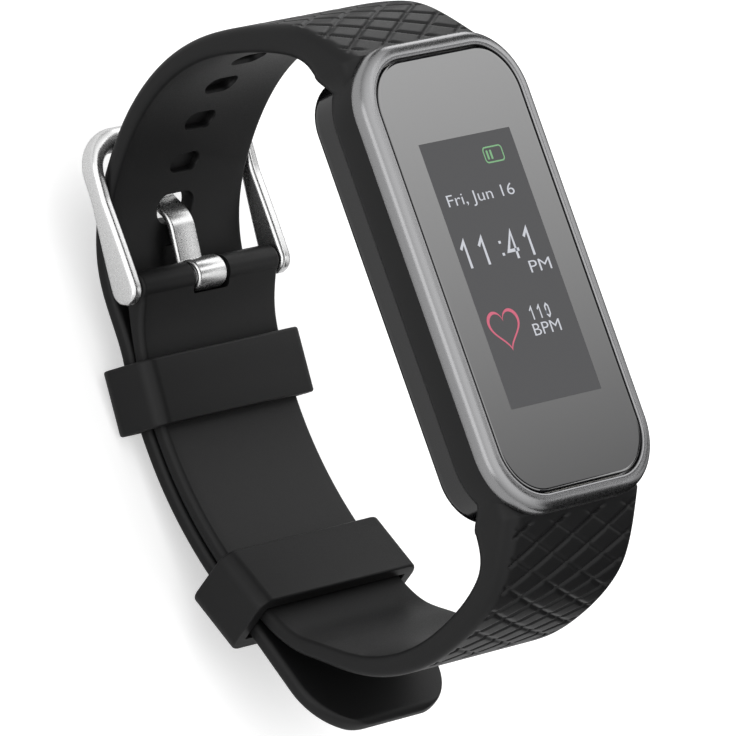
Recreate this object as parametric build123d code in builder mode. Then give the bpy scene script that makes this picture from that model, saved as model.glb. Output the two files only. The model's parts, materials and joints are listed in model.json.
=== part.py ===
"""Fitness tracker band: a display capsule held in a one-piece silicone strap, fastened with a pin buckle.

The part stands on the two strap keepers with its display facing up. +X runs across the band, +Y runs along the
display towards its top edge, and +Z is the display's outward normal. All sizes are in millimetres.
The capsule, the strap and the buckle are drawn from the centre of the display glass, which lies at
(0, DISPLAY_Y, FACE_Z) in the part's frame.
"""

import os
from math import cos, degrees, radians, sin

from build123d import *

os.makedirs("parts", exist_ok=True)

# ---------------------------------------------------------------- display capsule, driving sizes
GLASS_W = 16.6  # cover glass across the band
GLASS_L = 35.4
GLASS_T = 0.8
GLASS_R = 4.0  # corner radius in plan
SEAM = 0.12  # gap all round the glass
GASKET_T = 0.15
GASKET_W = 1.0
BEZEL_RIM = 1.33  # bezel wall beside the glass, at its widest
BEZEL_H = 1.45
BEZEL_ROUND = 1.1  # rounding of the bezel's upper outer edge
BEZEL_PROUD = 0.05  # how far the rim stands above the glass
LEDGE_T = 0.3  # shelf in the bezel that carries the gasket
LCD_SIDE = 1.55  # glass edge to display module, at the sides
LCD_END = 3.725  # and at the ends, with the module centred
LCD_T = 0.75
LCD_LOW = 1.1  # how far the module sits below the centre of its picture
BACKLIGHT_T = 0.7
BACKLIGHT_R = 0.4
HOUSING_WALL = 0.8
HOUSING_R = 3.4
RING_WALL = 1.25  # silicone wall round the capsule
RING_H = 2.8
RING_STEP = 0.2  # how far the silicone wall stands in from the bezel's side
BOARD_T = 0.6
BOARD_R = 1.0
BOARD_GAP = 0.2  # below the backlight, and beside the posts
FLEX_T = 0.12
FLEX_W = 6.0
FLEX_REACH = 0.9  # how far the display's ribbon loops past the module
FLEX_ON_BOARD = 2.0
FLEX_BEND = 0.4
BATTERY_SIDE = 1.5  # cavity wall to battery
BATTERY_TO_CHIPS = 9.4  # battery to the board's upper end, where the chips and the motor are
BATTERY_T = 1.9
BATTERY_EDGE = 0.6
BATTERY_IN = 2.6  # from the board's lower end
TAPE_IN = 1.0  # tape's edge inside the battery's
TAPE_T = 0.1
CHIP_T = 0.8
COVER_H = 2.65
COVER_WALL = 0.8
COVER_LIP = 0.6  # how far the back cover reaches under the silicone wall
COVER_ROUND = 1.0
SEAL_SIZE = 0.4
SCREW_R = 0.5
SCREW_HEAD_R = 0.9
SCREW_L = 2.3
SCREW_HEAD_T = 0.5
SOCKET_R = 0.4
SOCKET_H = 0.3
POST_R = 1.15
POST_SINK = 0.1  # how far a screw post runs into the housing wall
WINDOW_R = 3.7
WINDOW_T = 1.0
ISLAND_R = 5.0  # raised round island that carries the sensor window
ISLAND_H = 0.5
WINDOW_EDGE = 0.2
SENSOR_BOARD_W = 7.6
SENSOR_BOARD_L = 9.4
SENSOR_BOARD_R = 0.8
SENSOR_BOARD_T = 0.3
SENSOR_PART_T = 0.45
SENSOR_W = 2.2
SENSOR_L = 2.0
LED_W = 1.6
LED_L = 0.8
LED_PITCH = 4.6
TOUCH_W = 5.0
TOUCH_L = 1.2
TOUCH_R = 0.5
TOUCH_IN = 1.0  # inside the gasket
CONTACT_R = 0.95
CONTACT_PITCH = 4.4
CONTACT_IN = 4.2  # from the end of the cavity
MOTOR_R = 3.0
MOTOR_H = 2.0
MOTOR_WALL = 0.2
MOTOR_SHAFT_R = 0.25
ROTOR_HUB = 0.5  # wall of the rotor round its shaft
MOTOR_FROM_WALL = 0.6
MOTOR_FROM_END = 0.3
RUNNING = 0.03  # radial clearance of a shaft in its bore
FIT = 0.05  # gap between assembled capsule pieces

# ---------------------------------------------------------------- strap, driving sizes
STRAP_W = 16.2
STRAP_T = 1.35  # where the two straps lie on each other
ROOT_T = 3.5  # where a strap leaves the capsule
STRAP_GAP = 0.12  # between the overlapped straps
ARC_R = 32.4  # wrist side of the buckle strap
ARC_Y = -1.95  # centre of that arc, from the glass centre
ARC_Z = -0.4
OVERLAP_TOP = 10.0  # degrees from straight down, where the hole strap settles onto the arc
TAIL_LEAVES = -21.0  # where the tail runs straight on
BUCKLE_STRAP_LEAVES = -31.0  # where the buckle strap turns up to the capsule
TAIL_L = 15.6  # straight end of the tail
TAIL_CORNER = 5.0
HOLE_L = 3.5  # across the strap
HOLE_H = 1.9  # along the strap
HOLE_PITCH = 4.05
HOLES_ABOVE = 4  # holes between the tongue and the capsule
HOLES_BELOW = 7  # holes between the tongue and the tip

# ---------------------------------------------------------------- keepers, driving sizes
KEEPER_L = 5.4
KEEPER_WALL = 1.2
KEEPER_FIT = 0.15
KEEPER_SIDE_FIT = 0.15
KEEPER_ROUND = 1.2
KEEPERS = {"keeper_upper": (6.3, 0.0), "keeper_lower": (-24.5, 0.45)}  # place in degrees, extra depth

# ---------------------------------------------------------------- buckle, driving sizes
BAR_AT = 21.3  # spring bar, degrees on the arc
BAR_IN = 0.34  # spring bar's distance outside the strap's wrist side
BAR_R = 0.75
BAR_TUBE_IN = 0.6  # from the strap's edge to the end of the tube
BAR_TUBE_BORE = 0.55
BAR_NECK = 0.44  # opening at the tube's rolled ends
BAR_ROLL = 0.4
TIP_R = 0.4
TIP_HEAD_R = 0.5
TIP_HEAD_L = 1.2
TIP_IN_ARM = 0.8
SPRING_WIRE_R = 0.12
SPRING_WIRE_EDGE = 0.1  # rounding of the wire's four corners, just short of round
SPRING_COILS = 12
BEAD_WALL = 0.42
SLOT_W = 4.2
SLOT_FIT = 0.2  # from the tongue's eye to the end of the slot
ARM_T = 1.1
ARM_FIT = 0.2
ARM_END_R = 1.3
ARM_WAIST = 1.55
WAIST_AT = 0.6  # share of the way from the spring bar to the front bar
FRONT_BAR_ON = 5.15  # tongue hole to front bar, along the strap
FRONT_BAR_FIT = 0.89  # between the strap and the front bar
FRONT_BAR_R = 1.0
BUCKLE_CORNER = 3.6
TONGUE_W = 2.8
TONGUE_T = 0.6
EYE_W = 3.3
EYE_FIT = 0.04
EYE_WALL = 0.56
TONGUE_BEND = 1.2
TONGUE_FALL = (1.15, 0.68)  # before the strap hole: along the glass, and further in than the strap's middle
TONGUE_RISE = (1.25, 0.74)  # after the hole: along the glass, and further out
TONGUE_ROOT = 0.1  # where its blade starts, before the spring bar's centre
TONGUE_TIP = 1.3  # past the front bar
TONGUE_LIFT = 0.18  # above the front bar


def arc_point(radius, angle):
    """A point beside the strap's arc, as (y, z) from the glass centre; the angle is in degrees from straight down."""
    return (ARC_Y + radius * sin(radians(angle)), ARC_Z - radius * cos(radians(angle)))


def along(start, end, share, out=0.0):
    """A point by its share of the way from start to end, moved out to the right of that way by a share of it."""
    dy = end[0] - start[0]
    dz = end[1] - start[1]
    return (start[0] + share * dy - out * dz, start[1] + share * dz + out * dy)


# ---------------------------------------------------------------- derived places
GLASS_SEAT_Z = -GLASS_T - GASKET_T
LEDGE_Z = GLASS_SEAT_Z - LEDGE_T
BEZEL_W = GLASS_W + 2 * (SEAM + BEZEL_RIM)
BEZEL_L = GLASS_L + 2 * (SEAM + BEZEL_RIM)
BEZEL_R = GLASS_R + SEAM + BEZEL_RIM
RING_TOP = -BEZEL_H
RING_BOTTOM = RING_TOP - RING_H
RING_W = BEZEL_W - 2 * RING_STEP
RING_L = BEZEL_L - 2 * RING_STEP
RING_R = BEZEL_R - RING_STEP
HOUSING_W = RING_W - 2 * RING_WALL
HOUSING_L = RING_L - 2 * RING_WALL
CAVITY_W = HOUSING_W - 2 * HOUSING_WALL
CAVITY_L = HOUSING_L - 2 * HOUSING_WALL
CAVITY_R = HOUSING_R - HOUSING_WALL
LCD_W = GLASS_W - 2 * LCD_SIDE
LCD_L = GLASS_L - 2 * LCD_END
LCD_Z = GLASS_SEAT_Z - LCD_T
BACKLIGHT_Z = LCD_Z - BACKLIGHT_T
BOARD_TOP = BACKLIGHT_Z - BOARD_GAP
BOARD_BOTTOM = BOARD_TOP - BOARD_T
COVER_BOTTOM = RING_BOTTOM - COVER_H
COVER_FLOOR = COVER_BOTTOM + COVER_WALL
SENSOR_BOTTOM = COVER_FLOOR + SENSOR_PART_T
POST_X = CAVITY_W / 2 - POST_R + POST_SINK
POST_Y = CAVITY_L / 2 - POST_R + POST_SINK

TAIL_IN = ARC_R + STRAP_T + STRAP_GAP
TAIL_OUT = TAIL_IN + STRAP_T
TAIL_MID = (TAIL_IN + TAIL_OUT) / 2
BUCKLE_STRAP_MID = ARC_R + STRAP_T / 2
BAR = arc_point(ARC_R + BAR_IN, BAR_AT)
BAR_TUBE_L = STRAP_W - 2 * BAR_TUBE_IN
ROOT_Y = RING_L / 2
ROOT_LOW = RING_TOP - ROOT_T
ROOT_Z = (RING_TOP + ROOT_LOW) / 2
TAIL_START = arc_point(TAIL_MID, TAIL_LEAVES)
TAIL_END = (
    TAIL_START[0] - TAIL_L * cos(radians(TAIL_LEAVES)),
    TAIL_START[1] - TAIL_L * sin(radians(TAIL_LEAVES)),
)

# Centre line of the hole strap from the capsule to the overlap: (share of the way, bulge, thickness).
HOLE_ROOT = (ROOT_Y, ROOT_Z)
HOLE_JOIN = arc_point(TAIL_MID, OVERLAP_TOP)
HOLE_STRAP = [
    (0.051, 0.119, 2.6),
    (0.145, 0.224, 2.1),
    (0.276, 0.318, 1.75),
    (0.437, 0.362, 1.5),
    (0.675, 0.327, STRAP_T),
    (0.786, 0.278, STRAP_T),
    (0.910, 0.154, STRAP_T),
]
TONGUE_HOLE = 5  # the tongue goes through the strap at this point of the list
# Centre line of the buckle strap from the capsule to the arc.
BUCKLE_ROOT = (-ROOT_Y, ROOT_Z)
BUCKLE_JOIN = arc_point(BUCKLE_STRAP_MID, BUCKLE_STRAP_LEAVES)
BUCKLE_STRAP = [
    (0.124, 0.151, 2.5),
    (0.304, 0.238, 2.05),
    (0.511, 0.270, 1.85),
    (0.727, 0.218, 1.6),
    (0.876, 0.125, 1.45),
]

strap_top = max(along(HOLE_ROOT, HOLE_JOIN, s, b)[0] + t / 2 for s, b, t in HOLE_STRAP)
tail_low = TAIL_END[0] - STRAP_T / 2 * sin(radians(abs(TAIL_LEAVES)))
DISPLAY_Y = -(strap_top + tail_low) / 2
FOOT_AT, FOOT_EXTRA = KEEPERS["keeper_upper"]
FOOT_R = TAIL_OUT + KEEPER_FIT + FOOT_EXTRA + KEEPER_WALL
FACE_Z = -ARC_Z + FOOT_R * cos(radians(FOOT_AT)) + KEEPER_L / 2 * sin(radians(abs(FOOT_AT)))

SIDE = Plane(origin=(0, DISPLAY_Y, FACE_Z), x_dir=(0, 1, 0), z_dir=(1, 0, 0))


def level(z, x=0.0, y=0.0):
    """A plane parallel to the glass, z above the glass centre, with its own centre at x, y."""
    return Plane(origin=(x, DISPLAY_Y + y, FACE_Z + z))


def across(angle):
    """A plane square to the strap's arc at an angle, with its local x along the strap and y outward."""
    origin = SIDE.from_local_coords(Vector(*arc_point(0, 0), 0))
    return Plane(origin=origin, x_dir=(0, cos(radians(angle)), sin(radians(angle))), z_dir=(-1, 0, 0))


# ================================================================ display capsule
with BuildPart() as bezel_frame:
    with BuildSketch(level(-BEZEL_H)):
        RectangleRounded(BEZEL_W, BEZEL_L, BEZEL_R)
    extrude(amount=BEZEL_H + BEZEL_PROUD)
    fillet(bezel_frame.faces().sort_by(Axis.Z)[-1].edges(), BEZEL_ROUND)
    with BuildSketch(level(BEZEL_PROUD)):
        RectangleRounded(GLASS_W + 2 * SEAM, GLASS_L + 2 * SEAM, GLASS_R + SEAM)
    extrude(amount=GLASS_SEAT_Z - BEZEL_PROUD, mode=Mode.SUBTRACT)
    with BuildSketch(level(GLASS_SEAT_Z)):
        RectangleRounded(GLASS_W - 2 * GASKET_W, GLASS_L - 2 * GASKET_W, GLASS_R - GASKET_W)
    extrude(amount=-BEZEL_H, mode=Mode.SUBTRACT)
    with BuildSketch(level(-BEZEL_H)):
        RectangleRounded(HOUSING_W + 2 * FIT, HOUSING_L + 2 * FIT, HOUSING_R + FIT)
    extrude(amount=BEZEL_H + LEDGE_Z, mode=Mode.SUBTRACT)
bezel_frame.part.label = "bezel_frame"
export_step(bezel_frame.part, "parts/bezel_frame.step")

with BuildPart() as cover_glass:
    with BuildSketch(level(-GLASS_T)):
        RectangleRounded(GLASS_W, GLASS_L, GLASS_R)
    extrude(amount=GLASS_T)
    chamfer(cover_glass.faces().sort_by(Axis.Z)[-1].edges(), SEAM)
cover_glass.part.label = "cover_glass"
export_step(cover_glass.part, "parts/cover_glass.step")

with BuildPart() as glass_gasket:
    with BuildSketch(level(GLASS_SEAT_Z)):
        RectangleRounded(GLASS_W, GLASS_L, GLASS_R)
        RectangleRounded(
            GLASS_W - 2 * GASKET_W, GLASS_L - 2 * GASKET_W, GLASS_R - GASKET_W, mode=Mode.SUBTRACT
        )
    extrude(amount=GASKET_T)
glass_gasket.part.label = "glass_gasket"
export_step(glass_gasket.part, "parts/glass_gasket.step")

with BuildPart() as lcd_panel:
    with BuildSketch(level(LCD_Z, y=-LCD_LOW)):
        Rectangle(LCD_W, LCD_L)
    extrude(amount=LCD_T + GASKET_T)
lcd_panel.part.label = "lcd_panel"
export_step(lcd_panel.part, "parts/lcd_panel.step")

with BuildPart() as backlight:
    with BuildSketch(level(BACKLIGHT_Z, y=-LCD_LOW)):
        Rectangle(LCD_W, LCD_L)
    extrude(amount=BACKLIGHT_T)
    fillet(backlight.edges().filter_by(Axis.Z), BACKLIGHT_R)
backlight.part.label = "backlight"
export_step(backlight.part, "parts/backlight.step")

with BuildPart() as mid_frame:
    with BuildSketch(level(RING_BOTTOM)):
        RectangleRounded(HOUSING_W, HOUSING_L, HOUSING_R)
    extrude(amount=LEDGE_Z - RING_BOTTOM)
    with BuildSketch(level(LEDGE_Z)):
        RectangleRounded(CAVITY_W, CAVITY_L, CAVITY_R)
    extrude(amount=RING_BOTTOM - LEDGE_Z, mode=Mode.SUBTRACT)
    with BuildSketch(level(RING_BOTTOM)):
        with GridLocations(2 * POST_X, 2 * POST_Y, 2, 2):
            Circle(POST_R)
    extrude(amount=BACKLIGHT_Z - RING_BOTTOM)
    with BuildSketch(level(RING_BOTTOM)):
        with GridLocations(2 * POST_X, 2 * POST_Y, 2, 2):
            Circle(SCREW_R)
    extrude(amount=SCREW_L - COVER_WALL + FIT, mode=Mode.SUBTRACT)
mid_frame.part.label = "mid_frame"
export_step(mid_frame.part, "parts/mid_frame.step")

BOARD_W = LCD_W
BOARD_L = 2 * (POST_Y - POST_R - BOARD_GAP)
with BuildPart() as main_board:
    with BuildSketch(level(BOARD_BOTTOM)):
        RectangleRounded(BOARD_W, BOARD_L, BOARD_R)
    extrude(amount=BOARD_T)
main_board.part.label = "main_board"
export_step(main_board.part, "parts/main_board.step")

# Chips under the board's upper end, as (x, y, width, length, height).
CHIP_Y = BOARD_L / 2
CHIPS = [
    (-4.0, CHIP_Y - 3.4, 4.8, 4.8, CHIP_T),
    (-4.6, CHIP_Y - 7.9, 2.6, 2.2, CHIP_T),
    (-1.9, CHIP_Y - 7.8, 2.0, 1.6, 0.6),
    (-0.4, CHIP_Y - 1.2, 1.6, 0.9, 0.5),
]
with BuildPart() as board_chips:
    for x, y, width, length, height in CHIPS:
        with BuildSketch(level(BOARD_BOTTOM, x, y)):
            Rectangle(width, length)
        extrude(amount=-height)
board_chips.part.label = "board_chips"
export_step(board_chips.part, "parts/board_chips.step")

with BuildPart() as display_flex:
    flex_in = -LCD_LOW - LCD_L / 2
    flex_out = flex_in - FLEX_REACH
    flex_top = BACKLIGHT_Z + BACKLIGHT_T / 2
    with BuildSketch(SIDE.offset(-FLEX_W / 2)):
        with BuildLine():
            flex_line = FilletPolyline(
                (flex_in, flex_top),
                (flex_out, flex_top),
                (flex_out, BOARD_BOTTOM - FLEX_T),
                (-BOARD_L / 2 + FLEX_ON_BOARD, BOARD_BOTTOM - FLEX_T),
                radius=FLEX_BEND,
            )
        trace(flex_line, FLEX_T)
    extrude(amount=FLEX_W)
display_flex.part.label = "display_flex"
export_step(display_flex.part, "parts/display_flex.step")

BATTERY_W = CAVITY_W - 2 * BATTERY_SIDE
BATTERY_L = BOARD_L - BATTERY_IN - BATTERY_TO_CHIPS
BATTERY_Y = -BOARD_L / 2 + BATTERY_L / 2 + BATTERY_IN
BATTERY_TOP = BOARD_BOTTOM - TAPE_T
with BuildPart() as battery_tape:
    with BuildSketch(level(BATTERY_TOP, y=BATTERY_Y)):
        Rectangle(BATTERY_W - 2 * TAPE_IN, BATTERY_L - 2 * TAPE_IN)
    extrude(amount=TAPE_T)
battery_tape.part.label = "battery_tape"
export_step(battery_tape.part, "parts/battery_tape.step")

with BuildPart() as battery:
    with BuildSketch(level(BATTERY_TOP - BATTERY_T, y=BATTERY_Y)):
        Rectangle(BATTERY_W, BATTERY_L)
    extrude(amount=BATTERY_T)
    fillet(battery.edges().filter_by(Axis.Y), BATTERY_EDGE)
battery.part.label = "battery"
export_step(battery.part, "parts/battery.step")

MOTOR_X = CAVITY_W / 2 - MOTOR_R - MOTOR_FROM_WALL
MOTOR_Y = BOARD_L / 2 - MOTOR_R - MOTOR_FROM_END
MOTOR_TOP = BOARD_BOTTOM
with BuildPart() as motor_can:
    with BuildSketch(level(MOTOR_TOP, MOTOR_X, MOTOR_Y)):
        Circle(MOTOR_R)
    extrude(amount=-MOTOR_H)
    with BuildSketch(level(MOTOR_TOP - MOTOR_WALL, MOTOR_X, MOTOR_Y)):
        Circle(MOTOR_R - MOTOR_WALL)
    extrude(amount=-(MOTOR_H - 2 * MOTOR_WALL), mode=Mode.SUBTRACT)
    with BuildSketch(level(MOTOR_TOP - MOTOR_WALL, MOTOR_X, MOTOR_Y)):
        Circle(MOTOR_SHAFT_R)
    extrude(amount=-(MOTOR_H - 2 * MOTOR_WALL))
motor_can.part.label = "motor_can"
export_step(motor_can.part, "parts/motor_can.step")

with BuildPart() as motor_rotor:
    with BuildSketch(level(MOTOR_TOP - 2 * MOTOR_WALL, MOTOR_X, MOTOR_Y)):
        Circle(MOTOR_R - 2 * MOTOR_WALL)
        with Locations((0, -MOTOR_R)):
            Rectangle(2 * MOTOR_R, 2 * MOTOR_R, mode=Mode.SUBTRACT)
        Circle(MOTOR_SHAFT_R + ROTOR_HUB)
        Circle(MOTOR_SHAFT_R + RUNNING, mode=Mode.SUBTRACT)
    extrude(amount=-(MOTOR_H - 4 * MOTOR_WALL))
motor_rotor.part.label = "motor_rotor"
export_step(motor_rotor.part, "parts/motor_rotor.step")

COVER_W = HOUSING_W + 2 * COVER_LIP
COVER_L = HOUSING_L + 2 * COVER_LIP
COVER_R = HOUSING_R + COVER_LIP
SEAL_W = HOUSING_W - HOUSING_WALL + SEAL_SIZE
SEAL_L = HOUSING_L - HOUSING_WALL + SEAL_SIZE
SEAL_R = HOUSING_R - HOUSING_WALL / 2 + SEAL_SIZE / 2
CONTACT_Y = -CAVITY_L / 2 + CONTACT_IN
with BuildPart() as back_cover:
    with BuildSketch(level(COVER_BOTTOM)):
        RectangleRounded(COVER_W, COVER_L, COVER_R)
    extrude(amount=COVER_H)
    fillet(back_cover.faces().sort_by(Axis.Z)[0].edges(), COVER_ROUND)
    with BuildSketch(level(COVER_BOTTOM - ISLAND_H)):
        Circle(ISLAND_R)
    extrude(amount=ISLAND_H)
    with BuildSketch(level(COVER_FLOOR)):
        RectangleRounded(CAVITY_W, CAVITY_L, CAVITY_R)
    extrude(amount=COVER_H, mode=Mode.SUBTRACT)
    with BuildSketch(level(COVER_FLOOR)):
        with GridLocations(2 * POST_X, 2 * POST_Y, 2, 2):
            Circle(POST_R)
    extrude(amount=COVER_H - COVER_WALL)
    with BuildSketch(level(RING_BOTTOM)):
        RectangleRounded(SEAL_W, SEAL_L, SEAL_R)
        RectangleRounded(
            SEAL_W - 2 * SEAL_SIZE, SEAL_L - 2 * SEAL_SIZE, SEAL_R - SEAL_SIZE, mode=Mode.SUBTRACT
        )
    extrude(amount=-SEAL_SIZE, mode=Mode.SUBTRACT)
    with BuildSketch(level(COVER_FLOOR)):
        Circle(WINDOW_R)
        with Locations((0, CONTACT_Y)):
            with GridLocations(CONTACT_PITCH, 1, 2, 1):
                Circle(CONTACT_R)
    extrude(amount=-2 * COVER_H, mode=Mode.SUBTRACT)
    with BuildSketch(level(RING_BOTTOM)):
        with GridLocations(2 * POST_X, 2 * POST_Y, 2, 2):
            Circle(SCREW_R)
    extrude(amount=-COVER_H, mode=Mode.SUBTRACT)
    with BuildSketch(level(COVER_BOTTOM)):
        with GridLocations(2 * POST_X, 2 * POST_Y, 2, 2):
            Circle(SCREW_HEAD_R + FIT)
    extrude(amount=SCREW_HEAD_T, mode=Mode.SUBTRACT)
back_cover.part.label = "back_cover"
export_step(back_cover.part, "parts/back_cover.step")

with BuildPart() as back_seal:
    with BuildSketch(level(RING_BOTTOM)):
        RectangleRounded(SEAL_W, SEAL_L, SEAL_R)
        RectangleRounded(
            SEAL_W - 2 * SEAL_SIZE, SEAL_L - 2 * SEAL_SIZE, SEAL_R - SEAL_SIZE, mode=Mode.SUBTRACT
        )
    extrude(amount=-SEAL_SIZE)
back_seal.part.label = "back_seal"
export_step(back_seal.part, "parts/back_seal.step")

with BuildPart() as cover_screws:
    with BuildSketch(level(COVER_BOTTOM)):
        with GridLocations(2 * POST_X, 2 * POST_Y, 2, 2):
            Circle(SCREW_R)
    extrude(amount=SCREW_L + COVER_H - COVER_WALL)
    with BuildSketch(level(COVER_BOTTOM)):
        with GridLocations(2 * POST_X, 2 * POST_Y, 2, 2):
            Circle(SCREW_HEAD_R)
    extrude(amount=SCREW_HEAD_T)
    with BuildSketch(level(COVER_BOTTOM)):
        with GridLocations(2 * POST_X, 2 * POST_Y, 2, 2):
            RegularPolygon(SOCKET_R, 6)
    extrude(amount=SOCKET_H, mode=Mode.SUBTRACT)
cover_screws.part.label = "cover_screws"
export_step(cover_screws.part, "parts/cover_screws.step")

with BuildPart() as sensor_window:
    with BuildSketch(level(COVER_BOTTOM - ISLAND_H)):
        Circle(WINDOW_R - FIT)
    extrude(amount=WINDOW_T)
    fillet(sensor_window.faces().sort_by(Axis.Z)[0].edges(), WINDOW_EDGE)
sensor_window.part.label = "sensor_window"
export_step(sensor_window.part, "parts/sensor_window.step")

with BuildPart() as sensor_board:
    with BuildSketch(level(SENSOR_BOTTOM)):
        RectangleRounded(SENSOR_BOARD_W, SENSOR_BOARD_L, SENSOR_BOARD_R)
    extrude(amount=SENSOR_BOARD_T)
sensor_board.part.label = "sensor_board"
export_step(sensor_board.part, "parts/sensor_board.step")

with BuildPart() as pulse_leds:
    with BuildSketch(level(SENSOR_BOTTOM)):
        with GridLocations(1, LED_PITCH, 1, 2):
            Rectangle(LED_W, LED_L)
    extrude(amount=-SENSOR_PART_T)
pulse_leds.part.label = "pulse_leds"
export_step(pulse_leds.part, "parts/pulse_leds.step")

with BuildPart() as light_sensor:
    with BuildSketch(level(SENSOR_BOTTOM)):
        Rectangle(SENSOR_W, SENSOR_L)
    extrude(amount=-SENSOR_PART_T)
light_sensor.part.label = "light_sensor"
export_step(light_sensor.part, "parts/light_sensor.step")

with BuildPart() as charging_contacts:
    with BuildSketch(level(COVER_BOTTOM - FIT, y=CONTACT_Y)):
        with GridLocations(CONTACT_PITCH, 1, 2, 1):
            Circle(CONTACT_R - FIT)
    extrude(amount=COVER_WALL + 2 * FIT)
charging_contacts.part.label = "charging_contacts"
export_step(charging_contacts.part, "parts/charging_contacts.step")

TOUCH_Y = -GLASS_L / 2 + GASKET_W + TOUCH_IN
with BuildPart() as touch_pad:
    with BuildSketch(level(GLASS_SEAT_Z, y=TOUCH_Y)):
        RectangleRounded(TOUCH_W, TOUCH_L, TOUCH_R)
    extrude(amount=GASKET_T)
touch_pad.part.label = "touch_pad"
export_step(touch_pad.part, "parts/touch_pad.step")

# ================================================================ strap
STATIONS = 14  # places along each strap's centre line where its thickness is laid off
SETTLE = 3.0  # degrees before the join where a strap already lies on the arc
ROOT_IN = ROOT_Y - RING_WALL / 3  # inside the silicone wall
ROOT_OUT = ROOT_Y - FIT


def strap_points(root, join, shape, side, radius, join_angle):
    """The points of a strap's centre line, from the capsule to the arc. Side is 1 for the hole strap, -1 for the other."""
    bulged = [along(root, join, share, side * bulge) for share, bulge, thickness in shape]
    return [root, *bulged, arc_point(radius, join_angle + side * SETTLE), join]


def strap_sides(centre, points, shape, side):
    """The outer and the wrist-side points of a strap, its thickness laid off along its centre line."""
    thick = [ROOT_T] + [thickness for share, bulge, thickness in shape] + [STRAP_T, STRAP_T]
    places = [centre.param_at_point(Vector(*point)) for point in points]
    outer = []
    inner = []
    for i in range(STATIONS + 1):
        here = places[1] + (1.0 - places[1]) * i / STATIONS
        k = max(n for n in range(len(places) - 1) if places[n] <= here)
        share = (here - places[k]) / (places[k + 1] - places[k])
        half = side * (thick[k] + share * (thick[k + 1] - thick[k])) / 2
        at = centre.position_at(here)
        way = centre.tangent_at(here)
        outer.append((at.X - half * way.Y, at.Y + half * way.X))
        inner.append((at.X + half * way.Y, at.Y - half * way.X))
    return outer, inner


def local_plane(place, way):
    """A plane lying on the strap at a place, its x across the band and its normal outward."""
    outward = (0, way[1], -way[0])
    return Plane(origin=SIDE.from_local_coords(Vector(*place, 0)), x_dir=(1, 0, 0), z_dir=outward)


def run_on(place, angle, length):
    """The point a straight length further along the tail from a place on it."""
    return (place[0] - length * cos(radians(angle)), place[1] - length * sin(radians(angle)))


hole_points = strap_points(HOLE_ROOT, HOLE_JOIN, HOLE_STRAP, 1, TAIL_MID, OVERLAP_TOP)
hole_centre = Edge.make_spline([Vector(*point) for point in hole_points])
hole_outer, hole_inner = strap_sides(hole_centre, hole_points, HOLE_STRAP, 1)
tongue_place = hole_points[1 + TONGUE_HOLE]
tongue_param = hole_centre.param_at_point(Vector(*tongue_place))
to_tongue = hole_centre.trim(0, tongue_param).length

# Each hole as (place on the centre line, direction along the strap towards the capsule).
holes = []
for k in range(-HOLES_ABOVE, HOLES_BELOW + 1):
    gone = to_tongue + k * HOLE_PITCH
    if gone < hole_centre.length:
        at = hole_centre.position_at(gone, position_mode=PositionMode.LENGTH)
        way = hole_centre.tangent_at(gone, position_mode=PositionMode.LENGTH)
        holes.append(((at.X, at.Y), (-way.X, -way.Y)))
    else:
        angle = OVERLAP_TOP - degrees((gone - hole_centre.length) / TAIL_MID)
        holes.append((arc_point(TAIL_MID, angle), (cos(radians(angle)), sin(radians(angle)))))

half_way = (OVERLAP_TOP + TAIL_LEAVES) / 2
tail_tip_out = run_on(arc_point(TAIL_OUT, TAIL_LEAVES), TAIL_LEAVES, TAIL_L)
tail_tip_in = run_on(arc_point(TAIL_IN, TAIL_LEAVES), TAIL_LEAVES, TAIL_L)
with BuildPart() as hole_strap:
    with BuildSketch(SIDE):
        with BuildLine():
            Polyline((ROOT_OUT, ROOT_LOW), (ROOT_IN, RING_BOTTOM), (ROOT_IN, RING_TOP), (ROOT_OUT, RING_TOP))
            Spline((ROOT_OUT, RING_TOP), *hole_outer)
            ThreePointArc(hole_outer[-1], arc_point(TAIL_OUT, half_way), arc_point(TAIL_OUT, TAIL_LEAVES))
            Polyline(arc_point(TAIL_OUT, TAIL_LEAVES), tail_tip_out, tail_tip_in, arc_point(TAIL_IN, TAIL_LEAVES))
            ThreePointArc(arc_point(TAIL_IN, TAIL_LEAVES), arc_point(TAIL_IN, half_way), hole_inner[-1])
            Spline(*reversed(hole_inner), (ROOT_OUT, ROOT_LOW))
        make_face()
    extrude(amount=STRAP_W / 2, both=True)
    tip_face = hole_strap.faces().sort_by(Axis.Y)[0]
    fillet(tip_face.edges().filter_by(lambda edge: abs(edge.length - STRAP_T) < 0.01), TAIL_CORNER)
    for place, way in holes:
        with BuildSketch(local_plane(place, way)):
            SlotOverall(HOLE_L, HOLE_H)
        extrude(amount=STRAP_T, both=True, mode=Mode.SUBTRACT)

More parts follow.
